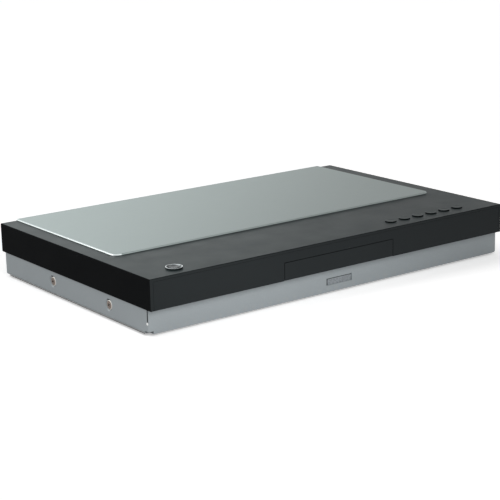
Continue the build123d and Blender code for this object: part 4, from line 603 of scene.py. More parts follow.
def level_normals(piece: Piece) -> None:
    """Let large faces set the shading of the softened edges beside them.

    Args:
        piece: the piece.
    """
    level = piece.modifiers.new("level", "WEIGHTED_NORMAL")
    level.keep_sharp = True
    level.weight = LEVEL_WEIGHT
    apply_modifiers(piece)


def dress(piece: Piece, *finishes: Finish) -> None:
    """Give a piece its finishes.

    Args:
        piece: the piece, one of the scene's own or a carried CAD node.
        finishes: one finish for each of its material slots.
    """
    worn = [face.material_index for face in piece.data.polygons]
    piece.data.materials.clear()
    for finish in finishes:
        piece.data.materials.append(finish.material())
    piece.data.polygons.foreach_set("material_index", [min(index, len(finishes) - 1) for index in worn])


def dress_nodes(finishes: dict[str, Finish]) -> None:
    """Dress carried CAD nodes, each in its finish."""
    for node, finish in finishes.items():
        dress(frame["nodes"][node], finish)


def mark(piece: Piece, index: int, chosen: Callable[[bpy.types.MeshPolygon], bool]) -> None:
    """Give some faces of a piece another of its finishes.

    Args:
        piece: the piece.
        index: the finish, counted from 0.
        chosen: the test that such a face meets.
    """
    for face in piece.data.polygons:
        if chosen(face):
            face.material_index = index


def body_of(node: str) -> str:
    """Name the body that carries a CAD node."""
    return frame["nodes"][node]["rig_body"]


def seat(piece: Piece, node: str) -> None:
    """Let a piece stand for a CAD node and ride on its body."""
    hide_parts(node)
    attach(piece, body_of(node))


def refined(node: str, width: float, segments: int = 2, pierced: bool = False) -> Piece:
    """Copy a CAD node into a piece with softened edges.

    The triangles of its flat faces are joined first, unless they have holes through them.

    Args:
        node: the CAD node.
        width: the width of the softened edge in metres.
        segments: the number of steps across it.
        pierced: whether its flat faces have holes.

    Returns:
        The piece, which stands for the node.
    """
    work = bmesh.new()
    work.from_mesh(frame["nodes"][node].data)
    bmesh.ops.remove_doubles(work, verts=work.verts, dist=MERGE_GAP)
    if not pierced:
        bmesh.ops.dissolve_limit(work, angle_limit=FLAT_ANGLE, verts=work.verts, edges=work.edges)
    piece = made(f"{node}_body", work)
    edge = piece.modifiers.new("edge", "BEVEL")
    edge.limit_method = "ANGLE"
    edge.angle_limit = SOFTENED_ANGLE
    edge.width = width
    edge.segments = segments
    edge.use_clamp_overlap = True
    edge.miter_outer = "MITER_ARC"
    apply_modifiers(piece)
    smooth(piece)
    level_normals(piece)
    seat(piece, node)
    return piece


def turned(name: str, profile: list[Pair], origin: Point, axis: Point, steps: int = 96) -> Piece:
    """Turn a profile about an axis, as on a lathe.

    Args:
        name: the piece's name.
        profile: radius and height points, in metres, from the axis outwards.
        origin: where the axis starts.
        axis: the direction of growing height.
        steps: the number of steps round it.

    Returns:
        The piece, not yet seated.
    """
    work = bmesh.new()
    points = [work.verts.new((radius, 0.0, height)) for radius, height in profile]
    edges = [work.edges.new(pair) for pair in zip(points[:-1], points[1:])]
    bmesh.ops.spin(
        work, geom=points + edges, cent=(0, 0, 0), axis=UP, angle=math.tau, steps=steps, use_merge=True
    )
    bmesh.ops.remove_doubles(work, verts=work.verts, dist=TURNED_GAP)
    bmesh.ops.recalc_face_normals(work, faces=work.faces)
    turn = Vector(UP).rotation_difference(Vector(axis)).to_matrix().to_4x4()
    work.transform(Matrix.Translation(Vector(origin)) @ turn)
    piece = made(name, work)
    smooth(piece)
    return piece


def rounded(profile: list[Pair], radius: float, steps: int = 4) -> list[Pair]:
    """Round the inner corners of a profile.

    Args:
        profile: its points.
        radius: the length taken from each side of a corner.
        steps: the number of steps round a corner.

    Returns:
        The profile with rounded corners.
    """
    result = [profile[0]]
    for before, corner, after in zip(profile[:-2], profile[1:-1], profile[2:]):
        start, middle, end = Vector(before), Vector(corner), Vector(after)
        reach = min(radius, (start - middle).length * SIDE_SHARE, (end - middle).length * SIDE_SHARE)
        a = middle + (start - middle).normalized() * reach
        b = middle + (end - middle).normalized() * reach
        for i in range(steps + 1):
            t = i / steps
            point = a * (1 - t) ** 2 + middle * 2 * t * (1 - t) + b * t**2
            result.append(tuple(point))
    result.append(profile[-1])
    return result


def block(name: str, low: Point, high: Point) -> Piece:
    """Make a box between two opposite corners.

    Args:
        name: the piece's name.
        low: its lowest corner.
        high: its highest corner.

    Returns:
        The piece, not yet seated.
    """
    work = bmesh.new()
    bmesh.ops.create_cube(work, size=1.0)
    for vert in work.verts:
        for axis in range(3):
            vert.co[axis] = high[axis] if vert.co[axis] > 0 else low[axis]
    return made(name, work)


def joined(name: str, parts: list[Piece]) -> Piece:
    """Join several loose pieces into one.

    Args:
        name: the name of the result.
        parts: the pieces, which are used up.

    Returns:
        The joined piece, not yet seated.
    """
    work = bmesh.new()
    for part in parts:
        work.from_mesh(part.data)
        bpy.data.objects.remove(part)
    piece = made(name, work)
    smooth(piece)
    return piece


def drawn(name: str, parts: list[Piece], node: str, finish: Finish) -> None:
    """Join thin blocks into dark lines of painted shade that ride with a CAD node.

    Args:
        name: the name of the lines.
        parts: the blocks, which are used up.
        node: the CAD node that they are drawn on.
        finish: their finish.
    """
    lines = joined(name, parts)
    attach(lines, body_of(node))
    dress(lines, finish)


@dataclass
class PhotoCamera:
    """The camera of the photograph, fitted to the recorder's outline.

    Args:
        azimuth: its direction round the recorder, in degrees.
        elevation: its height above the horizon, in degrees.
        roll: its turn about its own line of sight, in degrees.
        distance: its distance from the top of the black body, in metres.
        aside: its step along its own right and up axes, in metres.
        focal_pixels: its focal length in the photograph's pixels.
        target_height: the height of the point that it turns about, in metres.
    """

    azimuth: float = -36.439
    elevation: float = 14.761
    roll: float = -1.304
    distance: float = 1.49326
    aside: Pair = (-0.00354, -0.03703)
    focal_pixels: float = 1468.32
    target_height: float = 0.054

    def build(self) -> None:
        """Make the camera and let the scene use it."""
        turn, rise, roll = (math.radians(value) for value in (self.azimuth, self.elevation, self.roll))
        back = Vector((math.sin(turn) * math.cos(rise), -math.cos(turn) * math.cos(rise), math.sin(rise)))
        level = Vector((math.cos(turn), math.sin(turn), 0.0))
        upright = back.cross(level)
        right = level * math.cos(roll) + upright * math.sin(roll)
        up = upright * math.cos(roll) - level * math.sin(roll)
        data = bpy.data.cameras.new("photo_camera")
        data.lens = self.focal_pixels / PHOTO_PIXELS * data.sensor_width
        camera = bpy.data.objects.new("photo_camera", data)
        bpy.context.scene.collection.objects.link(camera)
        place = back * self.distance + right * self.aside[0] + up * self.aside[1]
        place.z += self.target_height
        axes = Matrix((right, up, back)).transposed().to_4x4()
        camera.matrix_world = Matrix.Translation(place) @ axes
        bpy.context.scene.camera = camera


@dataclass
class Studio:
    """A white floor, an even white sky, two soft lamps and a grey card.

    Args:
        floor_size: the side of the floor in metres.
        floor_grey: its colour, linear.
        floor_lift: the light that it adds towards the camera, to read as white paper.
        floor_roughness: its roughness.
        floor_cloud: the size of the faint clouds in its colour, in metres.
        floor_drift: the share by which its colour wanders.
        sky_light: the sky's strength on the recorder.
        mirror_tint: the sky's colour in reflections.
        key_light: the strength of the soft lamp at the back left.
        key_from: where it stands, seen from the recorder.
        key_width: its apparent width in degrees.
        spot_power: the power of the lamp that picks out the near corner, in watts.
        spot_place: where it stands, in metres.
        spot_aim: the point that it lights.
        spot_cone: the width of its cone in degrees.
        spot_radius: the radius of its soft source in metres.
        card_grey: the grey of the card that darkens reflections at the right.
        card_near: where its upper edge lies, to the right and up, in metres.
        card_far: where its lower edge lies.
        card_span: where it starts and ends, from the front to the back.
    """

    floor_size: float = 16.0
    floor_grey: float = 0.85
    floor_lift: float = 0.42
    floor_roughness: float = 0.9
    floor_cloud: float = 0.4
    floor_drift: float = 0.005
    sky_light: float = 0.42
    mirror_tint: Colour = (0.95, 1.0, 1.0)
    key_light: float = 1.1
    key_from: Point = (-0.30, 0.55, 0.80)
    key_width: float = 50.0
    spot_power: float = 11.0
    spot_place: Point = (-0.20, -0.62, 0.36)
    spot_aim: Point = (-0.10, -0.14, 0.0)
    spot_cone: float = 72.0
    spot_radius: float = 0.2
    card_grey: float = 0.40
    card_near: Pair = (0.45, 0.93)
    card_far: Pair = (1.6, 0.3)
    card_span: Pair = (-0.9, 1.5)

    def build(self) -> None:
        """Make the floor, the sky, the lamps and the card."""
        bpy.context.scene.view_settings.view_transform = "Standard"
        self.floor()
        self.sky()
        self.key_lamp()
        self.corner_spot()
        self.card()

    def sheet(self, name: str, corners: list[Point], wiring: Wiring) -> Piece:
        """Make a flat sheet of the studio, which has no gloss and may shine white.

        Args:
            name: its name.
            corners: its four corners.
            wiring: its material's nodes.

        Returns:
            The sheet.
        """
        mesh = bpy.data.meshes.new(name)
        mesh.from_pydata(corners, [], [(0, 1, 2, 3)])
        wiring.shader.inputs["Specular IOR Level"].default_value = 0.0
        wiring.shader.inputs["Emission Color"].default_value = (*WHITE, 1.0)
        mesh.materials.append(wiring.material)
        piece = placed(name, mesh)
        return piece

    def card(self) -> None:
        """Make a sloped grey card that only reflections see, up at the right."""
        wiring = Wiring("flag_card")
        wiring.shader.inputs["Base Color"].default_value = (0.0, 0.0, 0.0, 1.0)
        wiring.shader.inputs["Emission Strength"].default_value = self.card_grey
        (near_x, near_z), (far_x, far_z), (front, back) = self.card_near, self.card_far, self.card_span
        corners = [(near_x, front, near_z), (near_x, back, near_z), (far_x, back, far_z), (far_x, front, far_z)]
        card = self.sheet("studio_flag", corners, wiring)
        card.visible_camera = False
        card.visible_diffuse = False
        card.visible_shadow = False

    def floor(self) -> None:
        """Make the floor."""
        wiring = Wiring("floor_paper")
        grey = (self.floor_grey,) * 3
        dark, light = (shade(grey, 1.0 + side * self.floor_drift) for side in (-1, 1))
        wiring.paint(wiring.noise(self.floor_cloud), dark, light)
        wiring.shader.inputs["Roughness"].default_value = self.floor_roughness
        path = wiring.tree.nodes.new("ShaderNodeLightPath")
        lift = wiring.spread(path.outputs["Is Camera Ray"], (0.0, 1.0), (0.0, self.floor_lift))
        wiring.link(lift, wiring.shader.inputs["Emission Strength"])
        half = self.floor_size / 2
        self.sheet("studio_floor", [(-half, -half, 0), (half, -half, 0), (half, half, 0), (-half, half, 0)], wiring)

    def sky(self) -> None:
        """Make a sky that is white to the camera and in reflections, and softer as a light."""
        world = bpy.data.worlds.new("studio_sky")
        bpy.context.scene.world = world
        world.use_nodes = True
        nodes, links = world.node_tree.nodes, world.node_tree.links
        background = nodes["Background"]
        path = nodes.new("ShaderNodeLightPath")
        seen = path.outputs["Is Camera Ray"]
        for ray in ("Is Glossy Ray", "Is Transmission Ray"):
            either = nodes.new("ShaderNodeMath")
            either.operation = "MAXIMUM"
            links.new(seen, either.inputs[0])
            links.new(path.outputs[ray], either.inputs[1])
            seen = either.outputs[0]
        level = nodes.new("ShaderNodeMapRange")
        level.inputs["To Min"].default_value = self.sky_light
        level.inputs["To Max"].default_value = 1.0
        links.new(seen, level.inputs["Value"])
        links.new(level.outputs["Result"], background.inputs["Strength"])
        tint = mixed(world.node_tree, path.outputs["Is Glossy Ray"], WHITE, self.mirror_tint)
        links.new(tint, background.inputs["Color"])

    def lamp(self, data: bpy.types.Light, towards: Vector) -> Piece:
        """Put a lamp into the scene.

        Args:
            data: the lamp's light.
            towards: the way from what it lights to the lamp.

        Returns:
            The lamp.
        """
        lamp = bpy.data.objects.new(data.name, data)
        lamp.rotation_mode = "QUATERNION"
        lamp.rotation_quaternion = towards.to_track_quat("Z", "Y")
        bpy.context.scene.collection.objects.link(lamp)
        return lamp

    def key_lamp(self) -> None:
        """Make the wide soft lamp at the back left."""
        data = bpy.data.lights.new("key_lamp", "SUN")
        data.energy = self.key_light
        data.angle = math.radians(self.key_width)
        self.lamp(data, Vector(self.key_from))

    def corner_spot(self) -> None:
        """Make the spot lamp at the near corner, which reflections don't show."""
        data = bpy.data.lights.new("corner_spot", "SPOT")
        data.energy = self.spot_power
        data.spot_size = math.radians(self.spot_cone)
        data.spot_blend = 1.0
        data.shadow_soft_size = self.spot_radius
        spot = self.lamp(data, Vector(self.spot_place) - Vector(self.spot_aim))
        spot.location = self.spot_place
        spot.visible_glossy = False


@dataclass
class UpperBody:
    """The black moulded lid, the silver panel on it and the polished front.

    Args:
        edge: the softening of the lid's edges in metres.
        panel_edge: the softening of the panel's edges.
        front_band: how far back the lid's polished front reaches.
        level: how far up a face looks to belong to a flat top.
        upright: how far up a face still looks on an upright side.
        forward: how far forward a face looks to belong to the front.
        leftward: how far to the left a face of the panel's rim looks to get the painted highlight.
        chamfer_shift: how far the panel's flat top is widened.
        top_skin: how far under the panel's top its points still move.
        line_width: the width of the dark lines of painted shade at the lid's edges.
        line_inset: how far they stay inside the lid's outline.
        line_rise: how far they stand out of its top.
    """

    edge: float = 0.5 * MM
    panel_edge: float = 0.2 * MM
    front_band: float = 2.0 * MM
    level: float = 0.97
    upright: float = 0.3
    forward: float = 0.7
    leftward: float = 0.03
    chamfer_shift: float = 0.55 * MM
    top_skin: float = 0.05 * MM
    line_width: float = 0.7 * MM
    line_inset: float = 0.4 * MM
    line_rise: float = 0.03 * MM

    def build(self) -> None:
        """Make and dress the lid, the panel, the front and the display."""
        cover = refined("upper_cover", self.edge, segments=3)
        dress(cover, FINISH.cover_side_shade, FINISH.cover_top, FINISH.fascia)
        front = cad_low.y + self.front_band
        # Only flat top faces get the top black; sides and chamfers keep the darker copy, which is painted shade.
        mark(cover, 1, lambda face: face.normal.z > self.level)
        mark(cover, 2, lambda face: face.normal.y < -self.forward and face.center.y < front)
        panel = refined("top_panel", self.panel_edge)
        self.narrow_chamfer(panel)
        dress(panel, FINISH.panel, FINISH.panel_rim_highlight, FINISH.panel_edge)
        # Left-facing chamfers get the painted highlight, upright edges the painted shade.
        mark(panel, 1, lambda face: self.upright < face.normal.z < self.level and face.normal.x < -self.leftward)
        mark(panel, 2, lambda face: face.normal.z <= self.upright)
        self.lid_lines()
        dress(refined("front_fascia", self.panel_edge), FINISH.fascia)
        dress(refined("tray_door", self.panel_edge), FINISH.door)
        dress_nodes({"display_tube": FINISH.display, "display_board": FINISH.green_board})

    def narrow_chamfer(self, panel: Piece) -> None:
        """Let the panel's flat top reach closer to its outline.

        Args:
            panel: the panel.
        """
        low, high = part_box("top_panel")
        middle, half = (low + high) / 2, (high - low) / 2
        for vert in panel.data.vertices:
            if vert.co.z > high.z - self.top_skin:
                for axis in (0, 1):
                    spread = 1.0 + self.chamfer_shift / half[axis]
                    moved = middle[axis] + (vert.co[axis] - middle[axis]) * spread
                    vert.co[axis] = min(max(moved, low[axis]), min(high[axis], cad_high[axis]))
        smooth(panel)
        level_normals(panel)

    def lid_lines(self) -> None:
        """Draw painted shade as dark lines along the sharp edges of the lid at the front and at the right."""
        low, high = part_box("upper_cover")
        width, inset, top = self.line_width, self.line_inset, high.z + self.line_rise
        front = block(
            "lid_line_front",
            (low.x + width, low.y + inset, high.z - width),
            (high.x, low.y + inset + width, top),
        )
        right = block(
            "lid_line_right",
            (high.x - 2 * width, low.y + width, high.z - width),
            (high.x - inset, high.y - width, top),
        )
        drawn("lid_lines", [front, right], "upper_cover", FINISH.cover_side_shade)


@dataclass
class LowerBody:
    """The folded silver chassis with its screws, badge plate and feet.

    Args:
        edge: the softening of the sheet's edges in metres.
        downward: how far down a face looks to be a lower edge that gets painted shade.
        screw_radius: the radius of a side screw's head.
        screw_rise: the height of its head.
        screw_skirt: the share of the height that is a plain rim.
        screw_power: the power that flattens its dome.
        screw_steps: the number of steps up its dome.
        screw_face: the share of the radius inside its rim, which gets the painted highlight.
        screw_seat: how far out its seat lies from the middle.
        screw_height: its height above the floor.
        screw_rows: where the side screws stand along the body.
        cross_width: the width of the cross recess.
        cross_reach: the length of the cross recess.
        cross_depth: the depth of the cross recess.
        cross_over: how far above the head its cut starts.
        cross_taper: the share of its width that is left at its bottom.
        cross_turn: how far it is turned, in radians.
        cross_wall: how far below the dome a face belongs to it.
        dot_place: the middle of the near-white disc at the near corner, a painted highlight.
        dot_radius: its radius.
        dot_rise: how far it stands out.
        dot_shoulder: how far its upright side stands out.
        dot_root: how far it is sunk into the sheet.
        dot_crown: the share of the radius that is flat.
        badge_margin: how far the badge plate reaches behind its opening.
        badge_line: the width of the dark line of painted shade along the badge's left and upper edges.
        badge_line_rise: how far that line stands out of the plate.
        badge_line_root: how far it is sunk into the plate.
        lower_shade_inset: how far the painted shade along the side walls' lower edges keeps from the corners.
        lower_shade_height: the height of that painted shade.
        lower_shade_rise: how far it stands out of the wall.
        lower_shade_root: how far it is sunk into it.
        slit_width: the width of the slit above the near-white disc.
        slit_length: its length.
        slit_spread: how far its dark line of painted shade reaches past each side of it.
        slit_rise: how far that line stands out of the sheet.
        slit_root: how far it is sunk into the slit.
    """

    edge: float = 0.18 * MM
    downward: float = 0.6
    screw_radius: float = 4.6 * MM
    screw_rise: float = 1.2 * MM
    screw_skirt: float = 0.35
    screw_power: float = 0.8
    screw_steps: int = 10
    screw_face: float = 0.86
    screw_seat: float = 213.0 * MM
    screw_height: float = 14.8 * MM
    screw_rows: Pair = (-65.7 * MM, 36.7 * MM)
    cross_width: float = 1.0 * MM
    cross_reach: float = 4.4 * MM
    cross_depth: float = 1.0 * MM
    cross_over: float = 0.6 * MM
    cross_taper: float = 0.55
    cross_turn: float = 0.4
    cross_wall: float = 0.08 * MM
    dot_place: Point = (-214.2 * MM, -129.8 * MM, 12.1 * MM)
    dot_radius: float = 1.3 * MM
    dot_rise: float = 0.4 * MM
    dot_shoulder: float = 0.2 * MM
    dot_root: float = 0.6 * MM
    dot_crown: float = 0.8
    badge_margin: float = 3.0 * MM
    badge_line: float = 1.0 * MM
    badge_line_rise: float = 0.05 * MM
    badge_line_root: float = 0.2 * MM
    lower_shade_inset: float = 6.4 * MM
    lower_shade_height: float = 0.4 * MM
    lower_shade_rise: float = 0.04 * MM
    lower_shade_root: float = 0.3 * MM
    slit_width: float = 0.9 * MM
    slit_length: float = 12.6 * MM
    slit_spread: float = 0.35 * MM
    slit_rise: float = 0.03 * MM
    slit_root: float = 0.7 * MM

    def build(self) -> None:
        """Make and dress the chassis and what is fixed to it."""
        chassis = refined("base_chassis", self.edge, pierced=True)
        dress(chassis, FINISH.chassis, FINISH.underside_shade)
        # Downward faces of the lower bends get painted shade.
        mark(chassis, 1, lambda face: face.normal.z < -self.downward)
        dress(refined("badge_plate", self.edge), FINISH.badge)
        dress(refined("feet", 2 * self.edge), FINISH.foot)
        self.badge_lines()
        self.lower_edge_shade()
        self.slit_shade_lines()
        self.screws()
        self.bright_spot()

    def wall_shade_lines(self, name: str, start: Pair, end: Pair, rise: float, root: float, finish: Finish) -> None:
        """Draw the same dark line of painted shade on the outside of both side walls.

        Args:
            name: the name of the two lines.
            start: its lowest place along the body and up.
            end: its highest place along the body and up.
            rise: how far it stands out of the wall.
            root: how far it is sunk into it.
            finish: its finish.
        """
        low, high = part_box("base_chassis")
        left = block("line_left", (low.x - rise, *start), (low.x + root, *end))
        right = block("line_right", (high.x - root, *start), (high.x + rise, *end))
        drawn(name, [left, right], "base_chassis", finish)

    def lower_edge_shade(self) -> None:
        """Draw painted shade as a dark line along the lower edges of the two side walls."""
        low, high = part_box("base_chassis")
        start = (low.y + self.lower_shade_inset, low.z)
        end = (high.y - self.lower_shade_inset, low.z + self.lower_shade_height)
        self.wall_shade_lines("chassis_hem", start, end, self.lower_shade_rise, self.lower_shade_root, FINISH.underside_shade)

    def slit_shade_lines(self) -> None:
        """Draw painted shade as dark lines over the two slits beside the front corners, wider than the slits."""
        _, y, z = self.dot_place
        start = (y - self.slit_width - self.slit_spread, z)
        end = (y + self.slit_spread, z + self.slit_length)
        self.wall_shade_lines("slit_shadows", start, end, self.slit_rise, self.slit_root, FINISH.drawn_shade)

    def badge_lines(self) -> None:
        """Draw painted shade as a dark line along the left and upper edges of the badge."""
        low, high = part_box("badge_plate")
        width = self.badge_line
        left, top = low.x + self.badge_margin + width, high.z - self.badge_margin
        right, bottom = high.x - self.badge_margin, low.z + self.badge_margin
        front, back = low.y - self.badge_line_rise, low.y + self.badge_line_root
        upright = block("badge_line_left", (left, front, bottom), (left + width, back, top))
        level = block("badge_line_top", (left, front, top - width), (right, back, top))
        drawn("badge_lines", [upright, level], "badge_plate", FINISH.drawn_shade)

    def bright_spot(self) -> None:
        """Make the near-white disc at the near corner, which stands in for a bright spot of light: a painted
        highlight.
        """
        profile = [
            (0.0, self.dot_rise),
            (self.dot_radius * self.dot_crown, self.dot_rise),
            (self.dot_radius, self.dot_shoulder),
            (self.dot_radius, -self.dot_root),
        ]
        dot = turned("corner_rivet", profile, self.dot_place, (-1, 0, 0), steps=32)
        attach(dot, body_of("base_chassis"))
        dress(dot, FINISH.spot_highlight)

    def screws(self) -> None:
        """Make and dress the four side screws."""
        heads = [
            self.screw((side * self.screw_seat, row, self.screw_height), (side, 0, 0))
            for side in (-1, 1)
            for row in self.screw_rows
        ]
        screws = joined("side_screws_heads", heads)
        seat(screws, "side_screws")
        dress(screws, FINISH.nickel_rim_highlight, FINISH.nickel, FINISH.recess)

    def screw(self, origin: Point, outward: Point) -> Piece:
        """Make one screw head with a cross recess.

        Args:
            origin: the middle of its seat.
            outward: the direction of its head.

        Returns:
            The head, not yet seated.
        """
        radius, rise, dome = self.screw_radius, self.screw_rise, 1.0 - self.screw_skirt
        profile = [(0.0, 0.0), (radius, 0.0), (radius, rise * self.screw_skirt)]
        for i in range(1, self.screw_steps + 1):
            angle = math.pi / 2 * i / self.screw_steps
            reach = radius * math.cos(angle) ** self.screw_power if i < self.screw_steps else 0.0
            profile.append((reach, rise * (self.screw_skirt + dome * math.sin(angle))))
        head = turned("screw_head", profile, (0, 0, 0), UP, steps=64)
        for turn in (0.0, math.pi / 2):
            self.cut_slot(head, turn)
        for face in head.data.polygons:
            reach = face.center.xy.length
            fall = (reach / radius) ** (2 / self.screw_power)
            height = rise * (self.screw_skirt + dome * math.sqrt(max(1.0 - fall, 0.0)))
            # The recess gets painted shade, the face inside the rim a painted dark reflection, and the rim a
            # painted highlight.
            if reach < self.cross_reach / 2 and face.center.z < height - self.cross_wall:
                face.material_index = 2
            elif reach < radius * self.screw_face:
                face.material_index = 1
        spin = Vector(UP).rotation_difference(Vector(outward)).to_matrix().to_4x4()
        head.data.transform(Matrix.Translation(Vector(origin)) @ spin)
        return head

    def cut_slot(self, head: Piece, turn: float) -> None:
        """Cut one of the two slots of a screw's cross, tapered to its bottom.

        Args:
            head: the screw head.
            turn: the slot's direction in radians.
        """
        half_l, half_w = self.cross_reach / 2, self.cross_width / 2
        bottom, top = self.screw_rise - self.cross_depth, self.screw_rise + self.cross_over
        cutter = block("screw_cross", (-half_l, -half_w, bottom), (half_l, half_w, top))
        for vert in cutter.data.vertices:
            if vert.co.z < self.screw_rise:
                vert.co.xy *= self.cross_taper
        cutter.data.transform(Matrix.Rotation(turn + self.cross_turn, 4, "Z"))
        cut = head.modifiers.new("cross", "BOOLEAN")
        cut.object = cutter
        cut.solver = "EXACT"
        apply_modifiers(head)
        bpy.data.objects.remove(cutter)


@dataclass(frozen=True)
class Cap:
    """The form of a round button that is pressed, with a flange under the lid.

    Args:
        lip: how far the flange reaches past the button, in metres.
        flange: the flange's thickness.
        sink: how far the button's rim stays below its solid's top.
        crown: the share of the radius at which the dip in its top starts.
        slope: how far the top has fallen there.
        dish: how far it has fallen in the middle.
    """

    lip: float
    flange: float
    sink: float
    crown: float
    slope: float
    dish: float

    def turn(self, name: str, node: str, edge: float) -> Piece:
        """Turn a button of this form.

        Args:
            name: its name.
            node: the CAD node that it stands for.
            edge: the rounding of its rim in metres.

        Returns:
            The button.
        """
        low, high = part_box(node)
        middle, wide = (low + high) / 2, (high.x - low.x) / 2
        radius, shoulder, top = wide - self.lip, low.z + self.flange, high.z - self.sink
        profile = [
            (0.0, low.z),
            (wide, low.z),
            (wide, shoulder),
            (radius, shoulder),
            (radius, top),
            (radius * self.crown, top - self.slope),
            (0.0, top - self.dish),
        ]
        button = turned(name, rounded(profile, edge), (middle.x, middle.y, 0.0), UP)
        seat(button, node)
        return button


@dataclass
class Controls:
    """The power button with its ring, the six function buttons and what lies under them.

    Args:
        edge: the rounding of a button's rim in metres.
        key: the form of a function button.
        key_names: the nodes of the six function buttons.
        key_slope: how far up a face of a function button looks to belong to its top.
        power: the form of the power button.
        ring_bore: the ring's width from its outside to its bore.
        ring_neck: how far its neck stays inside its band.
        ring_band: the height of its band.
        ring_bevel: the bevel at the outside of its top.
        ring_land: where the flat of its top ends, from the outside.
        ring_fall: how far its top falls to the bore.
        ring_level: how far up a face looks to belong to its flat; the rest gets a painted dark reflection.
    """

    edge: float = 0.6 * MM
    key: Cap = Cap(1.4 * MM, 0.8 * MM, sink=0.55 * MM, crown=0.8, slope=0.0, dish=0.25 * MM)
    key_names: tuple[str, ...] = (
        "open_button",
        "stop_button",
        "play_button",
        "record_button",
        "channel_down_button",
        "channel_up_button",
    )
    key_slope: float = 0.3
    power: Cap = Cap(1.0 * MM, 1.0 * MM, sink=0.0, crown=0.7, slope=0.1 * MM, dish=0.4 * MM)
    ring_bore: float = 2.6 * MM
    ring_neck: float = 1.2 * MM
    ring_band: float = 1.6 * MM
    ring_bevel: float = 0.25 * MM
    ring_land: float = 0.85 * MM
    ring_fall: float = 1.0 * MM
    ring_level: float = 0.9

    def build(self) -> None:
        """Make and dress the buttons."""
        for name in self.key_names:
            key = self.key.turn(f"{name}_cap", name, self.edge)
            dress(key, FINISH.key, FINISH.key_side)
            # Sides of the buttons get the painted shade.
            mark(key, 1, lambda face: face.normal.z < self.key_slope)
        dress(self.power.turn("power_cap", "power_button", self.edge), FINISH.power)
        self.ring()
        dress_nodes(
            {"key_board": FINISH.green_board, "power_key_board": FINISH.green_board, "key_switches": FINISH.chip}
        )

    def ring(self) -> None:
        """Make the ring round the power button."""
        low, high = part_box("power_ring")
        middle, outer = (low + high) / 2, (high.x - low.x) / 2
        bore, neck, band = outer - self.ring_bore, outer - self.ring_neck, high.z - self.ring_band
        profile = [
            (bore, low.z),
            (neck, low.z),
            (neck, band),
            (outer, band),
            (outer, high.z - self.ring_bevel),
            (outer - self.ring_bevel, high.z),
            (outer - self.ring_land, high.z),
            (bore, high.z - self.ring_fall),
            (bore, low.z),
        ]
        ring = turned("power_ring_band", rounded(profile, self.edge), (middle.x, middle.y, 0.0), UP)
        seat(ring, "power_ring")
        dress(ring, FINISH.chrome, FINISH.chrome_dark_reflection)
        # Walls and slopes get the painted dark reflection.
        mark(ring, 1, lambda face: face.normal.z < self.ring_level)


@dataclass
class Rear:
    """The rear panel with its sockets, grille, fan and screws.

    Args:
        edge: the softening of the edges in metres.
    """

    edge: float = 0.2 * MM

    def build(self) -> None:
        """Make and dress everything at the rear."""
        dress(refined("rear_panel", self.edge, pierced=True), FINISH.rear)
        dress(refined("mains_inlet", self.edge), FINISH.black)
        dress(refined("jack_shells", self.edge), FINISH.socket)
        dress(refined("aerial_sockets", self.edge), FINISH.socket)
        dress(refined("rear_screws", self.edge), FINISH.black_screw)
        dress_nodes(
            {
                "digital_socket": FINISH.can,
                "jack_blocks": FINISH.black,
                "fan_frame": FINISH.black,
                "fan_rotor": FINISH.black,
            }
        )
        self.jack_colours()

    def jack_colours(self) -> None:
        """Give each row of jack insulators its colour, from the lowest row up."""
        rings = frame["nodes"]["jack_insulators"]
        rows = (FINISH.jack_red, FINISH.jack_white, FINISH.jack_yellow)
        dress(rings, *rows)
        low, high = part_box("jack_insulators")
        step = (high.z - low.z) / len(rows)
        for face in rings.data.polygons:
            height = (rings.matrix_world @ face.center).z
            face.material_index = min(int((height - low.z) / step), len(rows) - 1)


@dataclass
class Loader:
    """The tray with its drive, the frame, the clamp and the cam.

    Args:
        edge: the softening of the tray's edges in metres.
    """

    edge: float = 0.3 * MM

    def build(self) -> None:
        """Make and dress the loading mechanism."""
        dress(refined("disc_tray", self.edge), FINISH.tray)
        dress_nodes(
            {
                "loader_frame": FINISH.black,
                "clamp_bridge": FINISH.steel,
                "clamper": FINISH.black,
                "drive_gear": FINISH.acetal,
                "pulley_gear": FINISH.acetal,
                "motor_pulley": FINISH.acetal,
                "drive_belt": FINISH.belt,
                "loading_motor": FINISH.motor,
                "cam_slider": FINISH.cam,
            }
        )


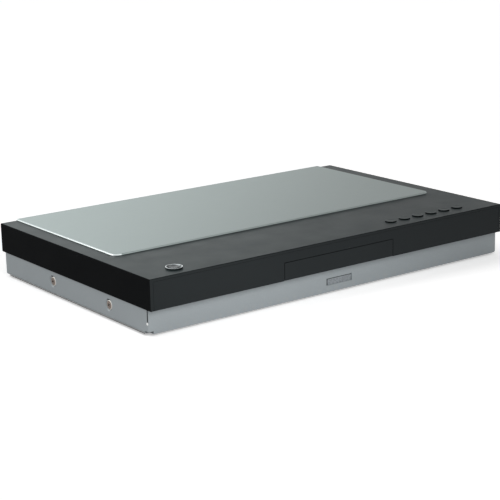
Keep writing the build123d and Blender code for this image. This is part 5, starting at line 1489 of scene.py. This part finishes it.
@dataclass
class Traverse:
    """The swinging frame with the spindle, the pickup and its feed.

    Args:
        pitch: the rise of the lead screw's thread in a turn, in metres.
        rib_rise: how far the thread's rib stands out.
        rib_root: how far it is sunk into the screw.
        rib_half: half its width at the root.
        rib_crest: the share of that width that is left at its crest.
        end_gap: how far it keeps from the screw's ends.
        steps: the number of steps in a turn.
    """

    pitch: float = 3.0 * MM
    rib_rise: float = 0.18 * MM
    rib_root: float = 0.1 * MM
    rib_half: float = 0.42 * MM
    rib_crest: float = 0.4
    end_gap: float = 4.5 * MM
    steps: int = 16

    def build(self) -> None:
        """Dress the traverse and what it carries."""
        thread = self.thread()
        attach(thread, body_of("lead_screw"))
        dress(thread, FINISH.ground)
        dress_nodes(
            {
                "traverse_frame": FINISH.steel,
                "spindle_base": FINISH.spindle_board,
                "spindle_rotor": FINISH.motor,
                "turntable": FINISH.black,
                "guide_rods": FINISH.ground,
                "pickup_sled": FINISH.zinc_cast,
                "objective_lens": FINISH.lens,
                "lead_screw": FINISH.ground,
                "feed_motor": FINISH.motor,
            }
        )

    def thread(self) -> Piece:
        """Wind the thread's rib round the lead screw.

        Returns:
            The rib, not yet seated.
        """
        low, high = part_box("lead_screw")
        middle, core = (low + high) / 2, (high.x - low.x) / 2
        start, end = low.y + self.end_gap, high.y - self.end_gap
        root, crest = core - self.rib_root, core + self.rib_rise
        half = self.rib_half
        section = [(root, -half), (crest, -half * self.rib_crest), (crest, half * self.rib_crest), (root, half)]
        work = bmesh.new()
        rings = []
        for i in range(int((end - start) / self.pitch * self.steps)):
            angle = math.tau * i / self.steps
            along = start + self.pitch * i / self.steps
            ring = [
                work.verts.new((middle.x + r * math.cos(angle), along + offset, middle.z + r * math.sin(angle)))
                for r, offset in section
            ]
            rings.append(ring)
        for before, after in zip(rings[:-1], rings[1:]):
            for k in range(len(section)):
                nxt = (k + 1) % len(section)
                work.faces.new((before[k], before[nxt], after[nxt], after[k]))
        work.faces.new(rings[0])
        work.faces.new(rings[-1])
        bmesh.ops.recalc_face_normals(work, faces=work.faces)
        piece = made("lead_thread", work)
        smooth(piece)
        return piece


@dataclass
class Electronics:
    """The two boards and the large parts on them.

    Args:
        can_top: how far up a face of a capacitor looks to belong to its bare top.
    """

    can_top: float = 0.9

    def build(self) -> None:
        """Dress the boards and their parts."""
        dress_nodes(
            {
                "power_board": FINISH.brown_board,
                "main_board": FINISH.green_board,
                "transformer": FINISH.tape,
                "heat_sink": FINISH.sink,
                "main_chips": FINISH.chip,
                "tuner_can": FINISH.can,
            }
        )
        cans = frame["nodes"]["capacitors"]
        dress(cans, FINISH.sleeve, FINISH.can)
        upright = cans.matrix_world.to_3x3()
        mark(cans, 1, lambda face: (upright @ face.normal).z > self.can_top)


def dressed() -> set[str]:
    """Name the pieces that wear a finish."""
    meshes = [piece for piece in bpy.data.objects if piece.type == "MESH" and piece.active_material]
    return {piece.name for piece in meshes if piece.data.materials[0].name.endswith(FINISH_ENDING)}


def main() -> None:
    """Build the camera, the studio and each sub-assembly, in order, and report each piece."""
    PhotoCamera().build()
    Studio().build()
    for assembly in (UpperBody(), LowerBody(), Controls(), Rear(), Loader(), Traverse(), Electronics()):
        known = dressed()
        assembly.build()
        for name in sorted(dressed() - known):
            log.info("%s: built %s", type(assembly).__name__, name)


if __name__ == "__main__":
    main()
